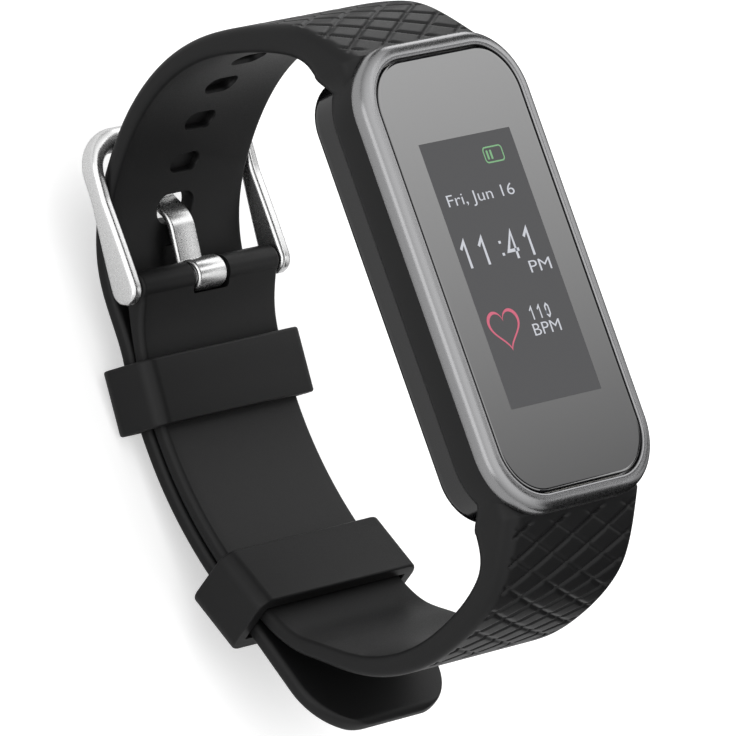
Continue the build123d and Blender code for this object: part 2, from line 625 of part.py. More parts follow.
BEAD_R = BAR_R + RUNNING + BEAD_WALL
EYE_R = BAR_R + EYE_FIT + EYE_WALL
buckle_points = strap_points(
    BUCKLE_ROOT, BUCKLE_JOIN, BUCKLE_STRAP, -1, BUCKLE_STRAP_MID, BUCKLE_STRAP_LEAVES
)
buckle_centre = Edge.make_spline([Vector(*point) for point in buckle_points])
buckle_outer, buckle_inner = strap_sides(buckle_centre, buckle_points, BUCKLE_STRAP, -1)
strap_out = ARC_R + STRAP_T
arc_middle = (BAR_AT + BUCKLE_STRAP_LEAVES) / 2
with BuildPart() as buckle_strap:
    with BuildSketch(SIDE):
        with BuildLine():
            Polyline(
                (-ROOT_OUT, ROOT_LOW), (-ROOT_IN, RING_BOTTOM), (-ROOT_IN, RING_TOP), (-ROOT_OUT, RING_TOP)
            )
            Spline((-ROOT_OUT, RING_TOP), *buckle_outer)
            ThreePointArc(buckle_outer[-1], arc_point(strap_out, arc_middle), arc_point(strap_out, BAR_AT))
            Line(arc_point(strap_out, BAR_AT), arc_point(ARC_R, BAR_AT))
            ThreePointArc(arc_point(ARC_R, BAR_AT), arc_point(ARC_R, arc_middle), buckle_inner[-1])
            Spline(*reversed(buckle_inner), (-ROOT_OUT, ROOT_LOW))
        make_face()
        with Locations(BAR):
            Circle(BEAD_R)
    extrude(amount=STRAP_W / 2, both=True)
    with BuildSketch(SIDE):
        with Locations(BAR):
            Circle(BAR_R + RUNNING)
    extrude(amount=STRAP_W, both=True, mode=Mode.SUBTRACT)
    with BuildSketch(SIDE):
        with Locations((BAR[0] + 2 * BEAD_R - EYE_R - SLOT_FIT, BAR[1])):
            Rectangle(4 * BEAD_R, 4 * BEAD_R)
    extrude(amount=SLOT_W / 2, both=True, mode=Mode.SUBTRACT)

with BuildPart() as band:
    with BuildSketch(level(RING_BOTTOM)):
        RectangleRounded(RING_W, RING_L, RING_R)
    extrude(amount=RING_H)
    add(hole_strap.part)
    add(buckle_strap.part)
    with BuildSketch(level(RING_BOTTOM)):
        RectangleRounded(HOUSING_W + 2 * FIT, HOUSING_L + 2 * FIT, HOUSING_R + FIT)
    extrude(amount=RING_H, mode=Mode.SUBTRACT)
band.part.label = "band"
export_step(band.part, "parts/band.step")

# ================================================================ keepers
for name, (angle, extra) in KEEPERS.items():
    middle = arc_point(0, 0)
    top = ARC_R - KEEPER_FIT - KEEPER_WALL
    foot = TAIL_OUT + KEEPER_FIT + extra + KEEPER_WALL
    with BuildPart() as keeper:
        with BuildSketch(across(angle)):
            with Locations((0, (top + foot) / 2)):
                Rectangle(KEEPER_L, foot - top)
        extrude(amount=STRAP_W / 2 + KEEPER_SIDE_FIT + KEEPER_WALL, both=True)
        long_edges = keeper.edges().filter_by(Axis((0, 0, 0), (0, cos(radians(angle)), sin(radians(angle)))))
        fillet(long_edges, KEEPER_ROUND)
        with BuildSketch(SIDE):
            with Locations(middle):
                Circle(foot - KEEPER_WALL)
                Circle(top + KEEPER_WALL, mode=Mode.SUBTRACT)
        extrude(amount=STRAP_W / 2 + KEEPER_SIDE_FIT, both=True, mode=Mode.SUBTRACT)
    keeper.part.label = name
    export_step(keeper.part, f"parts/{name}.step")

# ================================================================ buckle
ARM_IN = STRAP_W / 2 + ARM_FIT
ARM_OUT = ARM_IN + ARM_T
beside_bar = hole_centre.position_at(to_tongue - FRONT_BAR_ON, position_mode=PositionMode.LENGTH)
bar_way = hole_centre.tangent_at(to_tongue - FRONT_BAR_ON, position_mode=PositionMode.LENGTH)
bar_out = STRAP_T / 2 + FRONT_BAR_FIT + FRONT_BAR_R
FRONT_BAR = (beside_bar.X - bar_out * bar_way.Y, beside_bar.Y + bar_out * bar_way.X)
BUCKLE_REACH = FRONT_BAR[0] - BAR[0]
WAIST = along(BAR, FRONT_BAR, WAIST_AT)
with BuildPart() as buckle_frame:
    with BuildSketch(SIDE):
        with Locations(BAR):
            Circle(ARM_END_R)
        with Locations(WAIST):
            Circle(ARM_WAIST / 2)
        make_hull()
    extrude(amount=ARM_OUT, both=True)
    with BuildSketch(SIDE):
        with Locations(FRONT_BAR):
            Circle(FRONT_BAR_R)
        with Locations(WAIST):
            Circle(ARM_WAIST / 2)
        make_hull()
    extrude(amount=ARM_OUT, both=True)
    with BuildSketch(SIDE):
        with Locations((FRONT_BAR[0] - FRONT_BAR_R - BUCKLE_REACH, FRONT_BAR[1])):
            Rectangle(2 * BUCKLE_REACH, 2 * BUCKLE_REACH)
    extrude(amount=ARM_IN, both=True, mode=Mode.SUBTRACT)
    with BuildSketch(level(0)):
        with Locations((0, FRONT_BAR[0] + FRONT_BAR_R - BUCKLE_REACH)):
            RectangleRounded(2 * ARM_OUT, 2 * BUCKLE_REACH, BUCKLE_CORNER)
    extrude(amount=-2 * ARC_R, mode=Mode.INTERSECT)
    with BuildSketch(SIDE):
        with Locations(BAR):
            Circle(TIP_R + RUNNING)
    extrude(amount=ARM_IN + TIP_IN_ARM + FIT, both=True, mode=Mode.SUBTRACT)
buckle_frame.part.label = "buckle_frame"
export_step(buckle_frame.part, "parts/buckle_frame.step")

with BuildPart() as buckle_tongue:
    with BuildSketch(SIDE):
        with BuildLine():
            tongue_line = FilletPolyline(
                (BAR[0] - TONGUE_ROOT, BAR[1] - EYE_R + TONGUE_T / 2),
                (tongue_place[0] - TONGUE_FALL[0], tongue_place[1] + TONGUE_FALL[1]),
                (tongue_place[0] + TONGUE_RISE[0], tongue_place[1] - TONGUE_RISE[1]),
                (FRONT_BAR[0] + TONGUE_TIP, FRONT_BAR[1] - FRONT_BAR_R - TONGUE_LIFT - TONGUE_T / 2),
                radius=TONGUE_BEND,
            )
        trace(tongue_line, TONGUE_T)
    extrude(amount=TONGUE_W / 2, both=True)
    with BuildSketch(SIDE):
        with Locations(BAR):
            Circle(EYE_R)
    extrude(amount=EYE_W / 2, both=True)
    with BuildSketch(SIDE):
        with Locations(BAR):
            Circle(BAR_R + EYE_FIT)
    extrude(amount=EYE_W, both=True, mode=Mode.SUBTRACT)
buckle_tongue.part.label = "buckle_tongue"
export_step(buckle_tongue.part, "parts/buckle_tongue.step")

with BuildPart() as bar_tube:
    with BuildSketch(SIDE):
        with Locations(BAR):
            Circle(BAR_R)
            Circle(BAR_NECK, mode=Mode.SUBTRACT)
    extrude(amount=BAR_TUBE_L / 2, both=True)
    with BuildSketch(SIDE):
        with Locations(BAR):
            Circle(BAR_TUBE_BORE)
    extrude(amount=BAR_TUBE_L / 2 - BAR_ROLL, both=True, mode=Mode.SUBTRACT)
bar_tube.part.label = "bar_tube"
export_step(bar_tube.part, "parts/bar_tube.step")

TIP_END = ARM_IN + TIP_IN_ARM
HEAD_OUT = BAR_TUBE_L / 2 - BAR_ROLL - RUNNING
for name, side in (("bar_tip_left", -1), ("bar_tip_right", 1)):
    with BuildPart() as bar_tip:
        with BuildSketch(SIDE.offset(side * (HEAD_OUT - TIP_HEAD_L))):
            with Locations(BAR):
                Circle(TIP_R)
        extrude(amount=side * (TIP_END - HEAD_OUT + TIP_HEAD_L))
        with BuildSketch(SIDE.offset(side * (HEAD_OUT - TIP_HEAD_L))):
            with Locations(BAR):
                Circle(TIP_HEAD_R)
        extrude(amount=side * TIP_HEAD_L)
    bar_tip.part.label = name
    export_step(bar_tip.part, f"parts/{name}.step")

SPRING_L = 2 * (HEAD_OUT - TIP_HEAD_L) - 2 * SPRING_WIRE_R - 2 * FIT
SPRING_R = BAR_TUBE_BORE - RUNNING - SPRING_WIRE_R
SPRING_START = SIDE.from_local_coords(Vector(*BAR, -SPRING_L / 2))
with BuildPart() as bar_spring:
    with BuildLine():
        coil = Helix(SPRING_L / SPRING_COILS, SPRING_L, SPRING_R, center=SPRING_START, direction=(1, 0, 0))
    with BuildSketch(Plane(origin=coil @ 0, z_dir=coil % 0)):
        RectangleRounded(2 * SPRING_WIRE_R, 2 * SPRING_WIRE_R, SPRING_WIRE_EDGE)
    sweep(path=coil, is_frenet=True)
bar_spring.part.label = "bar_spring"
export_step(bar_spring.part, "parts/bar_spring.step")
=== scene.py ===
# %% [markdown]
# # Looks of a fitness tracker band
#
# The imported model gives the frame: a display capsule held in a one-piece silicone strap, closed by a pin buckle and
# two keepers. This script lays finer meshes, materials, light and a camera round it. Lengths in the code are
# millimetres measured from the centre of the cover glass, with x across the band, y to the display's top edge and z
# out of the glass. `settle` turns them into metres in the row frame, in one place.

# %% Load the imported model
import json
from math import atan2, cos, pi, radians, sin, sqrt

import bmesh
import bpy
import numpy as np
from mathutils import Matrix, Vector


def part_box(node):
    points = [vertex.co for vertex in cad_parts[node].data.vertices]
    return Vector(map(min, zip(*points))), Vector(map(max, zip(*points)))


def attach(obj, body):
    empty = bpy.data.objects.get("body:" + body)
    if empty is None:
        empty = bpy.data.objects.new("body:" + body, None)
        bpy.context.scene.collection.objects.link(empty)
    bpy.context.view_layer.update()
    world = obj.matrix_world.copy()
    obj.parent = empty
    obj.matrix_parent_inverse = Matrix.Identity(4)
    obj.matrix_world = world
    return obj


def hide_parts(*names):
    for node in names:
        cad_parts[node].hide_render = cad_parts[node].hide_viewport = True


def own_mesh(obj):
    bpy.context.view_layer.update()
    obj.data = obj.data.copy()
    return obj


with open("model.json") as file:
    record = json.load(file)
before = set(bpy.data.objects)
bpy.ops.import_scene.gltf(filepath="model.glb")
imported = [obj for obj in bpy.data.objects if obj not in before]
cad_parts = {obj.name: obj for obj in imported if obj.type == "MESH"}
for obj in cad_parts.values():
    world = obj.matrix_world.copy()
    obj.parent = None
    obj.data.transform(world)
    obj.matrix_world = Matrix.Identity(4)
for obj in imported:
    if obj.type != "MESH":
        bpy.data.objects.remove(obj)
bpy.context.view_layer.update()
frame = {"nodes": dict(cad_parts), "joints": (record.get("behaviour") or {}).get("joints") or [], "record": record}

# %% [markdown]
# ## Sizes that the CAD already fixes
#
# The glass's own box gives the origin. The joints give the middle of the strap's arc, which is the axis the keepers
# slide about, and the spring bar, which is the axis of the buckle. Reading them keeps the meshes on the CAD when it
# changes. The strap's thicknesses and the groove pattern aren't in any box, so they are named where they are used.

# %% Origin, capsule, arc and spring bar
MM = 0.001
glass_low, glass_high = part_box("cover_glass")
ORIGIN = Vector(((glass_low.x + glass_high.x) / 2, (glass_low.y + glass_high.y) / 2, glass_high.z))
GLASS_W = (glass_high.x - glass_low.x) / MM
GLASS_L = (glass_high.y - glass_low.y) / MM
GLASS_R = 4.0
bezel_low, bezel_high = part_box("bezel_frame")
BEZEL_OUT = ((bezel_high.x - bezel_low.x) / MM - GLASS_W) / 2
BEZEL_BOTTOM = (bezel_low.z - ORIGIN.z) / MM


def joint_place(name):
    """Where a joint's axis crosses the side view, as (y, z) from the glass centre."""
    joint = next(j for j in frame["joints"] if j["name"] == name)
    return (joint["pos_m"][1] - ORIGIN.y) / MM, (joint["pos_m"][2] - ORIGIN.z) / MM


ARC = joint_place("keeper_upper_slide")
BAR = joint_place("buckle_swing")
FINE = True
print("glass", round(GLASS_W, 3), round(GLASS_L, 3), "arc", ARC, "bar", BAR)

# %% [markdown]
# ## Making meshes
#
# Nearly every piece here is a row of closed outlines joined by quads: a rounded rectangle swept up a profile for the
# capsule, sections along a line for the strap, buckle and tongue. One `loft` therefore makes them all. Cuts are made
# with Boolean modifiers on closed meshes, in millimetres, before a piece is moved into the row frame.

# %% Outline, loft, cut and settle
def rounded_rect(width, length, radius, corner=10):
    """The outline of a rounded rectangle about 0, 0, anticlockwise."""
    x, y = width / 2 - radius, length / 2 - radius
    outline = []
    for cx, cy, start in ((x, y, 0), (-x, y, 90), (-x, -y, 180), (x, -y, 270)):
        for i in range(corner + 1):
            angle = radians(start + 90 * i / corner)
            outline.append((cx + radius * cos(angle), cy + radius * sin(angle)))
    return outline


def loft(name, rings, ring_closed=False):
    """A mesh over outlines of equal length. The ends are capped, unless the last outline joins the first."""
    count = len(rings[0])
    points = [tuple(point) for ring in rings for point in ring]
    faces = []
    for i in range(len(rings) if ring_closed else len(rings) - 1):
        a, b = i * count, (i + 1) % len(rings) * count
        faces += [(a + j, a + (j + 1) % count, b + (j + 1) % count, b + j) for j in range(count)]
    if not ring_closed:
        faces.append(tuple(reversed(range(count))))
        faces.append(tuple(range(len(points) - count, len(points))))
    mesh = bpy.data.meshes.new(name)
    mesh.from_pydata(points, [], faces)
    work = bmesh.new()
    work.from_mesh(mesh)
    bmesh.ops.recalc_face_normals(work, faces=work.faces)
    work.to_mesh(mesh)
    work.free()
    piece = bpy.data.objects.new(name, mesh)
    bpy.context.scene.collection.objects.link(piece)
    return piece


def combine(piece, operation, *others):
    """Unites the others with the piece, or cuts them from it, and removes them."""
    for other in others:
        change = piece.modifiers.new("combine", "BOOLEAN")
        change.operation = operation
        change.solver = "MANIFOLD"
        change.object = other
    made = bpy.data.meshes.new_from_object(piece.evaluated_get(bpy.context.evaluated_depsgraph_get()))
    piece.modifiers.clear()
    piece.data = made
    for other in others:
        bpy.data.objects.remove(other)
    return piece


def settle(piece, material, slot, *nodes, body="root", sharp=32):
    """Moves a mesh from millimetres at the glass to the row frame, smooths it, and ties it to its CAD body."""
    piece.data.transform(Matrix.Translation(ORIGIN) @ Matrix.Scale(MM, 4))
    piece.data.materials.clear()
    piece.data.materials.append(material)
    for face in piece.data.polygons:
        face.use_smooth = True
        face.material_index = 0
    piece.data.set_sharp_from_angle(angle=radians(sharp))
    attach(piece, body)
    if nodes:
        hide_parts(*nodes)
    print(piece.name, len(piece.data.polygons), "faces")
    return piece


# %% [markdown]
# ## Surface effects shared by several materials
#
# Moulded rubber, satin metal and gloss plastic all have a fine random relief. Each effect is a node group that gives
# only a roughness and a normal, so that the colour and the shader stay in the material.

# %% Node groups
def effect_group(name, scale, detail, rough_low, rough_high, relief):
    """A group with a roughness and a normal from one noise, sized in metres."""
    group = bpy.data.node_groups.new(name, "ShaderNodeTree")
    group.interface.new_socket("Roughness", in_out="OUTPUT", socket_type="NodeSocketFloat")
    group.interface.new_socket("Normal", in_out="OUTPUT", socket_type="NodeSocketVector")
    nodes, links = group.nodes, group.links
    place = nodes.new("ShaderNodeTexCoord")
    noise = nodes.new("ShaderNodeTexNoise")
    noise.inputs["Scale"].default_value = scale
    noise.inputs["Detail"].default_value = detail
    spread = nodes.new("ShaderNodeMapRange")
    spread.inputs["From Min"].default_value = 0.3
    spread.inputs["From Max"].default_value = 0.7
    spread.inputs["To Min"].default_value = rough_low
    spread.inputs["To Max"].default_value = rough_high
    bump = nodes.new("ShaderNodeBump")
    bump.inputs["Strength"].default_value = 1.0
    bump.inputs["Distance"].default_value = relief
    out = nodes.new("NodeGroupOutput")
    links.new(place.outputs["Object"], noise.inputs["Vector"])
    links.new(noise.outputs["Fac"], spread.inputs["Value"])
    links.new(noise.outputs["Fac"], bump.inputs["Height"])
    links.new(spread.outputs["Result"], out.inputs["Roughness"])
    links.new(bump.outputs["Normal"], out.inputs["Normal"])
    return group


moulded_skin = effect_group("moulded_skin", 9000.0, 3.0, 0.42, 0.52, 0.000004)
satin_grain = effect_group("satin_grain", 9000.0, 2.0, 0.24, 0.32, 0.0000002)
gloss_skin = effect_group("gloss_skin", 1500.0, 2.0, 0.10, 0.16, 0.000001)
print([group.name for group in bpy.data.node_groups])

# %% [markdown]
# ## Materials
#
# Each is one Principled shader with its constants on the shader's own sockets. The strap is black silicone: nearly no
# colour of its own, a broad soft shine. The capsule's rim is painted satin metal, the buckle satin steel. The glass
# border is a dark printed layer under clear glass, so it is a dark base with a sharp, strong reflection, and the
# picture area is duller. Layers of real glass would be truer, and much slower to render without noise.

# %% Material maker and the table of finishes
def material(name, color, roughness=0.5, metallic=0.0, group=None, **sockets):
    """A Principled material. The group, if any, gives roughness and normal."""
    made = bpy.data.materials.new(name)
    made.use_nodes = True
    shader = made.node_tree.nodes["Principled BSDF"]
    shader.inputs["Base Color"].default_value = (*color, 1.0)
    shader.inputs["Metallic"].default_value = metallic
    shader.inputs["Roughness"].default_value = roughness
    for socket, value in sockets.items():
        shader.inputs[socket.replace("_", " ")].default_value = value
    if group:
        effect = made.node_tree.nodes.new("ShaderNodeGroup")
        effect.node_tree = group
        made.node_tree.links.new(effect.outputs["Roughness"], shader.inputs["Roughness"])
        made.node_tree.links.new(effect.outputs["Normal"], shader.inputs["Normal"])
    return made


silicone = material("silicone_black", (0.006, 0.006, 0.0063), group=moulded_skin, IOR=1.34)
bezel_metal = material("bezel_metal", (0.30, 0.30, 0.305), metallic=1.0, group=satin_grain)
steel = material("buckle_steel", (0.80, 0.80, 0.80), metallic=1.0, group=satin_grain)
glass_border = material("glass_border", (0.01, 0.01, 0.011), roughness=0.05, IOR=2.6)
picture_black = material("picture_black", (0.085, 0.085, 0.088), roughness=0.7, Specular_IOR_Level=0.1)
cover_gloss = material("cover_gloss", (0.003, 0.003, 0.0035), group=gloss_skin, IOR=1.6)
picture_white = material("picture_white", (0.45, 0.46, 0.5), roughness=0.6, Emission_Color=(0.7, 0.74, 0.8, 1),
                         Emission_Strength=0.12)
picture_green = material("picture_green", (0.16, 0.36, 0.17), roughness=0.6, Emission_Color=(0.25, 0.6, 0.28, 1),
                         Emission_Strength=0.06)
picture_pink = material("picture_pink", (0.5, 0.09, 0.15), roughness=0.6, Emission_Color=(0.8, 0.1, 0.2, 1),
                        Emission_Strength=0.1)
FINISHES = {
    "frame_plastic": material("frame_plastic", (0.02, 0.02, 0.022), 0.45, group=moulded_skin),
    "board_green": material("board_green", (0.01, 0.07, 0.03), 0.35),
    "chip_black": material("chip_black", (0.015, 0.015, 0.016), 0.4),
    "flex_amber": material("flex_amber", (0.45, 0.17, 0.02), 0.3),
    "panel_grey": material("panel_grey", (0.12, 0.12, 0.13), 0.2),
    "film_white": material("film_white", (0.75, 0.76, 0.78), 0.4),
    "cell_foil": material("cell_foil", (0.62, 0.63, 0.65), 0.3, metallic=0.9),
    "tape_white": material("tape_white", (0.7, 0.69, 0.64), 0.6),
    "screw_steel": material("screw_steel", (0.5, 0.5, 0.49), metallic=1.0, group=satin_grain),
    "contact_gold": material("contact_gold", (0.83, 0.62, 0.28), 0.2, metallic=1.0),
    "rotor_weight": material("rotor_weight", (0.33, 0.33, 0.34), 0.4, metallic=1.0),
    "seal_rubber": material("seal_rubber", (0.012, 0.012, 0.012), group=moulded_skin),
    "window_dark": material("window_dark", (0.01, 0.006, 0.008), 0.05, IOR=1.5),
    "led_clear": material("led_clear", (0.25, 0.75, 0.35), 0.25),
    "buckle_steel": steel,
    "cover_gloss": cover_gloss,
    "silicone_black": silicone,
    "bezel_metal": bezel_metal,
    "display_glass": glass_border,
}
slots = {part["node"]: part["material_slot"] for part in frame["record"]["subparts"]}
for node, piece in frame["nodes"].items():
    piece.data.materials.clear()
    piece.data.materials.append(FINISHES[slots[node]])
print(len(slots), "CAD nodes painted")

# %% [markdown]
# ## Bezel
#
# A painted metal rim round the glass. The real one is a die casting: a thin bright edge beside the glass, a nearly
# flat top, then a convex side. It is one closed profile swept round a rounded rectangle, with the ledge that carries
# the glass inside. A bevelled extrusion would give the outside only, and the wrong curve.

# %% Bezel profile, swept
SEAM = 0.12
RIM_FLAT = 0.38
RIM_SQUARE = 2.3
SIDE_ROUND = 1.1
SEAT = -0.95
LEDGE = -1.25
LEDGE_IN = -1.0
HOUSING_OUT = 0.05
rim_top = (bezel_high.z - ORIGIN.z) / MM


def around(profile, corner=16):
    """Outlines round the glass for a profile of (distance outside the glass, height)."""
    return [
        [(x, y, z) for x, y in rounded_rect(GLASS_W + 2 * out, GLASS_L + 2 * out, GLASS_R + out, corner)]
        for out, z in profile
    ]


profile = [(SEAM, SEAT), (SEAM, rim_top - 0.10), (SEAM + 0.03, rim_top - 0.03), (SEAM + 0.08, rim_top)]
profile += [(RIM_FLAT - 0.10, rim_top), (RIM_FLAT - 0.05, rim_top - 0.06), (RIM_FLAT - 0.03, rim_top - 0.06)]
for i in range(15):
    turn = radians(90 * i / 14)
    reach = (BEZEL_OUT - RIM_FLAT) * sin(turn) ** (2 / RIM_SQUARE)
    profile.append((RIM_FLAT + reach, rim_top - SIDE_ROUND * (1 - cos(turn) ** (2 / RIM_SQUARE))))
profile += [(BEZEL_OUT, BEZEL_BOTTOM + 0.04), (BEZEL_OUT - 0.04, BEZEL_BOTTOM), (HOUSING_OUT, BEZEL_BOTTOM)]
profile += [(HOUSING_OUT, LEDGE), (LEDGE_IN, LEDGE), (LEDGE_IN, SEAT)]
bezel = loft("bezel", around(profile, 24), ring_closed=True)
settle(bezel, bezel_metal, "bezel_metal", "bezel_frame", sharp=50)

# %% [markdown]
# ## Cover glass and the picture behind it
#
# The glass is one sheet whose border is printed dark on its back, with a clear window over the display. The border is
# made as a sheet with a window cut out of it, and the window as an inlay that lies flush in it. Clear glass over a
# lit display would give the same look with much more noise, since every ray would cross two surfaces.

# %% Border sheet and window inlay
WINDOW_W = 10.8
WINDOW_L = 21.7
GLASS_T = 0.8
EDGE = 0.12
border_profile = [(-0.05, -GLASS_T), (-0.05, -EDGE), (-0.09, -0.035), (-0.16, 0), (-0.3, 0)]
border = loft("glass_border_sheet", around(border_profile, 24))
opening = loft("opening", [[(x, y, z) for x, y in rounded_rect(WINDOW_W, WINDOW_L, 0.05, 2)] for z in (-0.3, 0.3)])
combine(border, "DIFFERENCE", opening)
settle(border, glass_border, "display_glass", "cover_glass")
INLAY_GAP = 0.01
inlay = loft("display_window", [
    [(x, y, z) for x, y in rounded_rect(WINDOW_W - 2 * INLAY_GAP, WINDOW_L - 2 * INLAY_GAP, 0.05, 2)]
    for z in (-0.29, -0.005)
])
settle(inlay, picture_black, "display_glass")

# %% [markdown]
# ## What the display shows
#
# Lit figures in a plain face: a battery, a date, the time, a heart outline with a pulse. Each is a real solid 0.02 mm
# thick on the window, so it stays sharp at any distance and needs no image. Words come from Blender's own font.

# %% Words and figures
PRINT_T = 0.02
PRINT_Z = -0.012


def words(name, text, x, y, height, width, material):
    """A line of text, centred at x, y, scaled to a height and a width."""
    curve = bpy.data.curves.new(name, "FONT")
    curve.body = text
    curve.resolution_u = 6
    curve.offset = -0.006
    maker = bpy.data.objects.new(name + "_maker", curve)
    bpy.context.scene.collection.objects.link(maker)
    curve.extrude = 0.5
    bpy.context.view_layer.update()
    mesh = bpy.data.meshes.new_from_object(maker.evaluated_get(bpy.context.evaluated_depsgraph_get()))
    bpy.data.objects.remove(maker)
    spots = np.array([v.co for v in mesh.vertices])
    low, high = spots.min(0), spots.max(0)
    size = Matrix.Diagonal((width / (high[0] - low[0]), height / (high[1] - low[1]), PRINT_T / (high[2] - low[2]), 1))
    middle = Matrix.Translation(Vector(-(low + high) / 2))
    mesh.transform(Matrix.Translation((x, y, PRINT_Z + PRINT_T / 2)) @ size @ middle)
    piece = bpy.data.objects.new(name, mesh)
    bpy.context.scene.collection.objects.link(piece)
    return settle(piece, material, "display_glass")


words("show_date", "Fri, Jun 16", -0.45, 5.9, 1.25, 7.9, picture_white)
words("show_half", "PM", 3.45, -0.3, 0.95, 2.5, picture_white)
words("show_unit", "BPM", 1.75, -5.2, 0.95, 3.2, picture_white)

# %% Figures drawn as strokes
STROKES = {
    "1": [[(0.08, 0.72), (0.42, 1.0), (0.42, 0.0)]],
    "4": [[(0.55, 0.0), (0.55, 1.0), (0.0, 0.32), (0.78, 0.32)]],
    "0": [[(0.1, 0.2), (0.1, 0.8), (0.35, 1.0), (0.6, 0.8), (0.6, 0.2), (0.35, 0.0), (0.1, 0.2), (0.1, 0.5)]],
    ":": [[(0.3, 0.2), (0.3, 0.3)], [(0.3, 0.65), (0.3, 0.75)]],
}
FIGURE_ASPECT = 0.72
COLON_SHARE = 0.55
LONGEST_MITRE = 0.45


def mitre(before, here, after, weight):
    """The sideways step from a stroke's middle to its edge, longer where two runs meet."""
    runs = [(end - start).normalized() for start, end in ((before, here), (here, after)) if start != end]
    way = sum(runs, Vector((0, 0))).normalized()
    reach = weight / 2 / max(LONGEST_MITRE, way.dot(runs[0]))
    return Vector((-way.y, way.x)) * reach


def figures(name, text, x, y, height, advance, weight, material):
    """Figures as thin solid strokes of an even weight, centred at x, y."""
    left = x - sum(advance * (COLON_SHARE if c == ":" else 1) for c in text) / 2
    for n, c in enumerate(text):
        for m, stroke in enumerate(STROKES[c]):
            line = [Vector((left + px * height * FIGURE_ASPECT, y + (py - 0.5) * height)) for px, py in stroke]
            top = PRINT_Z + PRINT_T + 0.0005 * m
            rings = []
            for before, here, after in zip(line[:1] + line, line, line[1:] + line[-1:]):
                step = mitre(before, here, after, weight)
                edges = ((here + step, PRINT_Z), (here + step, top), (here - step, top), (here - step, PRINT_Z))
                rings.append([(*point, z) for point, z in edges])
            settle(loft(f"{name}_{n}_{m}", rings), material, "display_glass")
        left += advance * (COLON_SHARE if c == ":" else 1)


figures("show_time", "11:41", -0.1, 1.65, 2.2, 2.1, 0.27, picture_white)
figures("show_pulse", "110", 1.75, -3.9, 1.05, 0.92, 0.14, picture_white)

# %% Battery and heart outlines
def outline_band(name, outer, inner, material):
    """A flat solid between two outlines with the same number of points."""
    top, low = PRINT_Z + PRINT_T, PRINT_Z
    rings = [[(x, y, z) for x, y in line] for line, z in ((outer, low), (outer, top), (inner, top), (inner, low))]
    return settle(loft(name, rings, ring_closed=True), material, "display_glass")


def moved(outline, x, y):
    """An outline shifted by x, y."""
    return [(px + x, py + y) for px, py in outline]


def heart(size, share):
    """A heart of a width, as points; share moves every point towards its middle."""
    points = []
    for i in range(64):
        t = 2 * pi * i / 64
        x = 16 * sin(t) ** 3
        y = 13 * cos(t) - 5 * cos(2 * t) - 2 * cos(3 * t) - cos(4 * t)
        points.append((x * size / 32 * share, (y + 2.5) * size / 32 * share))
    return points


BATTERY_AT = (2.6, 9.0)
outline_band("show_battery", moved(rounded_rect(2.3, 1.35, 0.35), *BATTERY_AT),
             moved(rounded_rect(2.06, 1.11, 0.23), *BATTERY_AT), picture_green)
for k in range(2):
    cell = loft(f"show_cell_{k}", [
        [(x, y, z) for x, y in moved(rounded_rect(0.22, 0.75, 0.05, 2), BATTERY_AT[0] - 0.7 + 0.42 * k, BATTERY_AT[1])]
        for z in (PRINT_Z, PRINT_Z + PRINT_T)
    ])
    settle(cell, picture_green, "display_glass")
HEART_AT = (-2.9, -4.75)
outline_band("show_heart", moved(heart(3.7, 1.0), *HEART_AT), moved(heart(3.7, 0.86), *HEART_AT), picture_pink)

# %% [markdown]
# ## The strap's side view
#
# Both straps leave the capsule thick, thin down, and settle on one arc, the hole strap outside the buckle strap. Each
# is a line in the side view with a thickness. The line is a natural cubic through points given by their share of the
# way and their bulge, then the arc, then, for the tail, a straight end. A Blender curve with a bevel would twist and
# couldn't change its section, so the line is worked out here.

# %% Lines and thicknesses
STRAP_W = 16.2
STRAP_T = 1.35
ROOT_T = 3.5
ARC_R = 32.4
STRAP_GAP = 0.12
RING_TOP = BEZEL_BOTTOM
RING_BOTTOM = RING_TOP - 2.8
ROOT_Y = (bezel_high.y - bezel_low.y) / MM / 2 - 0.2
OUTER_MID = ARC_R + STRAP_T + STRAP_GAP + STRAP_T / 2
INNER_MID = ARC_R + STRAP_T / 2
OVERLAP_TOP, TAIL_LEAVES, BUCKLE_LEAVES, BAR_AT = 10.0, -21.0, -31.0, 21.3
TAIL_L = 15.6
SWELL, SWELL_FROM = 0.84, 14.0
LEAD_IN = 3
HOLE_SHAPE = [(0.051, 0.119, 2.6), (0.145, 0.224, 2.1), (0.276, 0.318, 1.75), (0.437, 0.362, 1.5),
              (0.675, 0.327, 1.35), (0.786, 0.278, 1.35), (0.910, 0.154, 1.35)]
TONGUE_HOLE = 5
BUCKLE_SHAPE = [(0.124, 0.151, 2.5), (0.304, 0.238, 2.05), (0.511, 0.270, 1.85), (0.727, 0.218, 1.6),
                (0.876, 0.125, 1.45)]


def arc_point(radius, angle):
    """A point of the side view, by its distance from the arc's axis and its angle from straight down."""
    return np.array((ARC[0] + radius * sin(radians(angle)), ARC[1] - radius * cos(radians(angle))))


def along(start, end, share, out):
    """A point a share of the way from start to end, pushed out square to it by a share of its length."""
    dy, dz = end[0] - start[0], end[1] - start[1]
    return np.array((start[0] + share * dy - out * dz, start[1] + share * dz + out * dy))


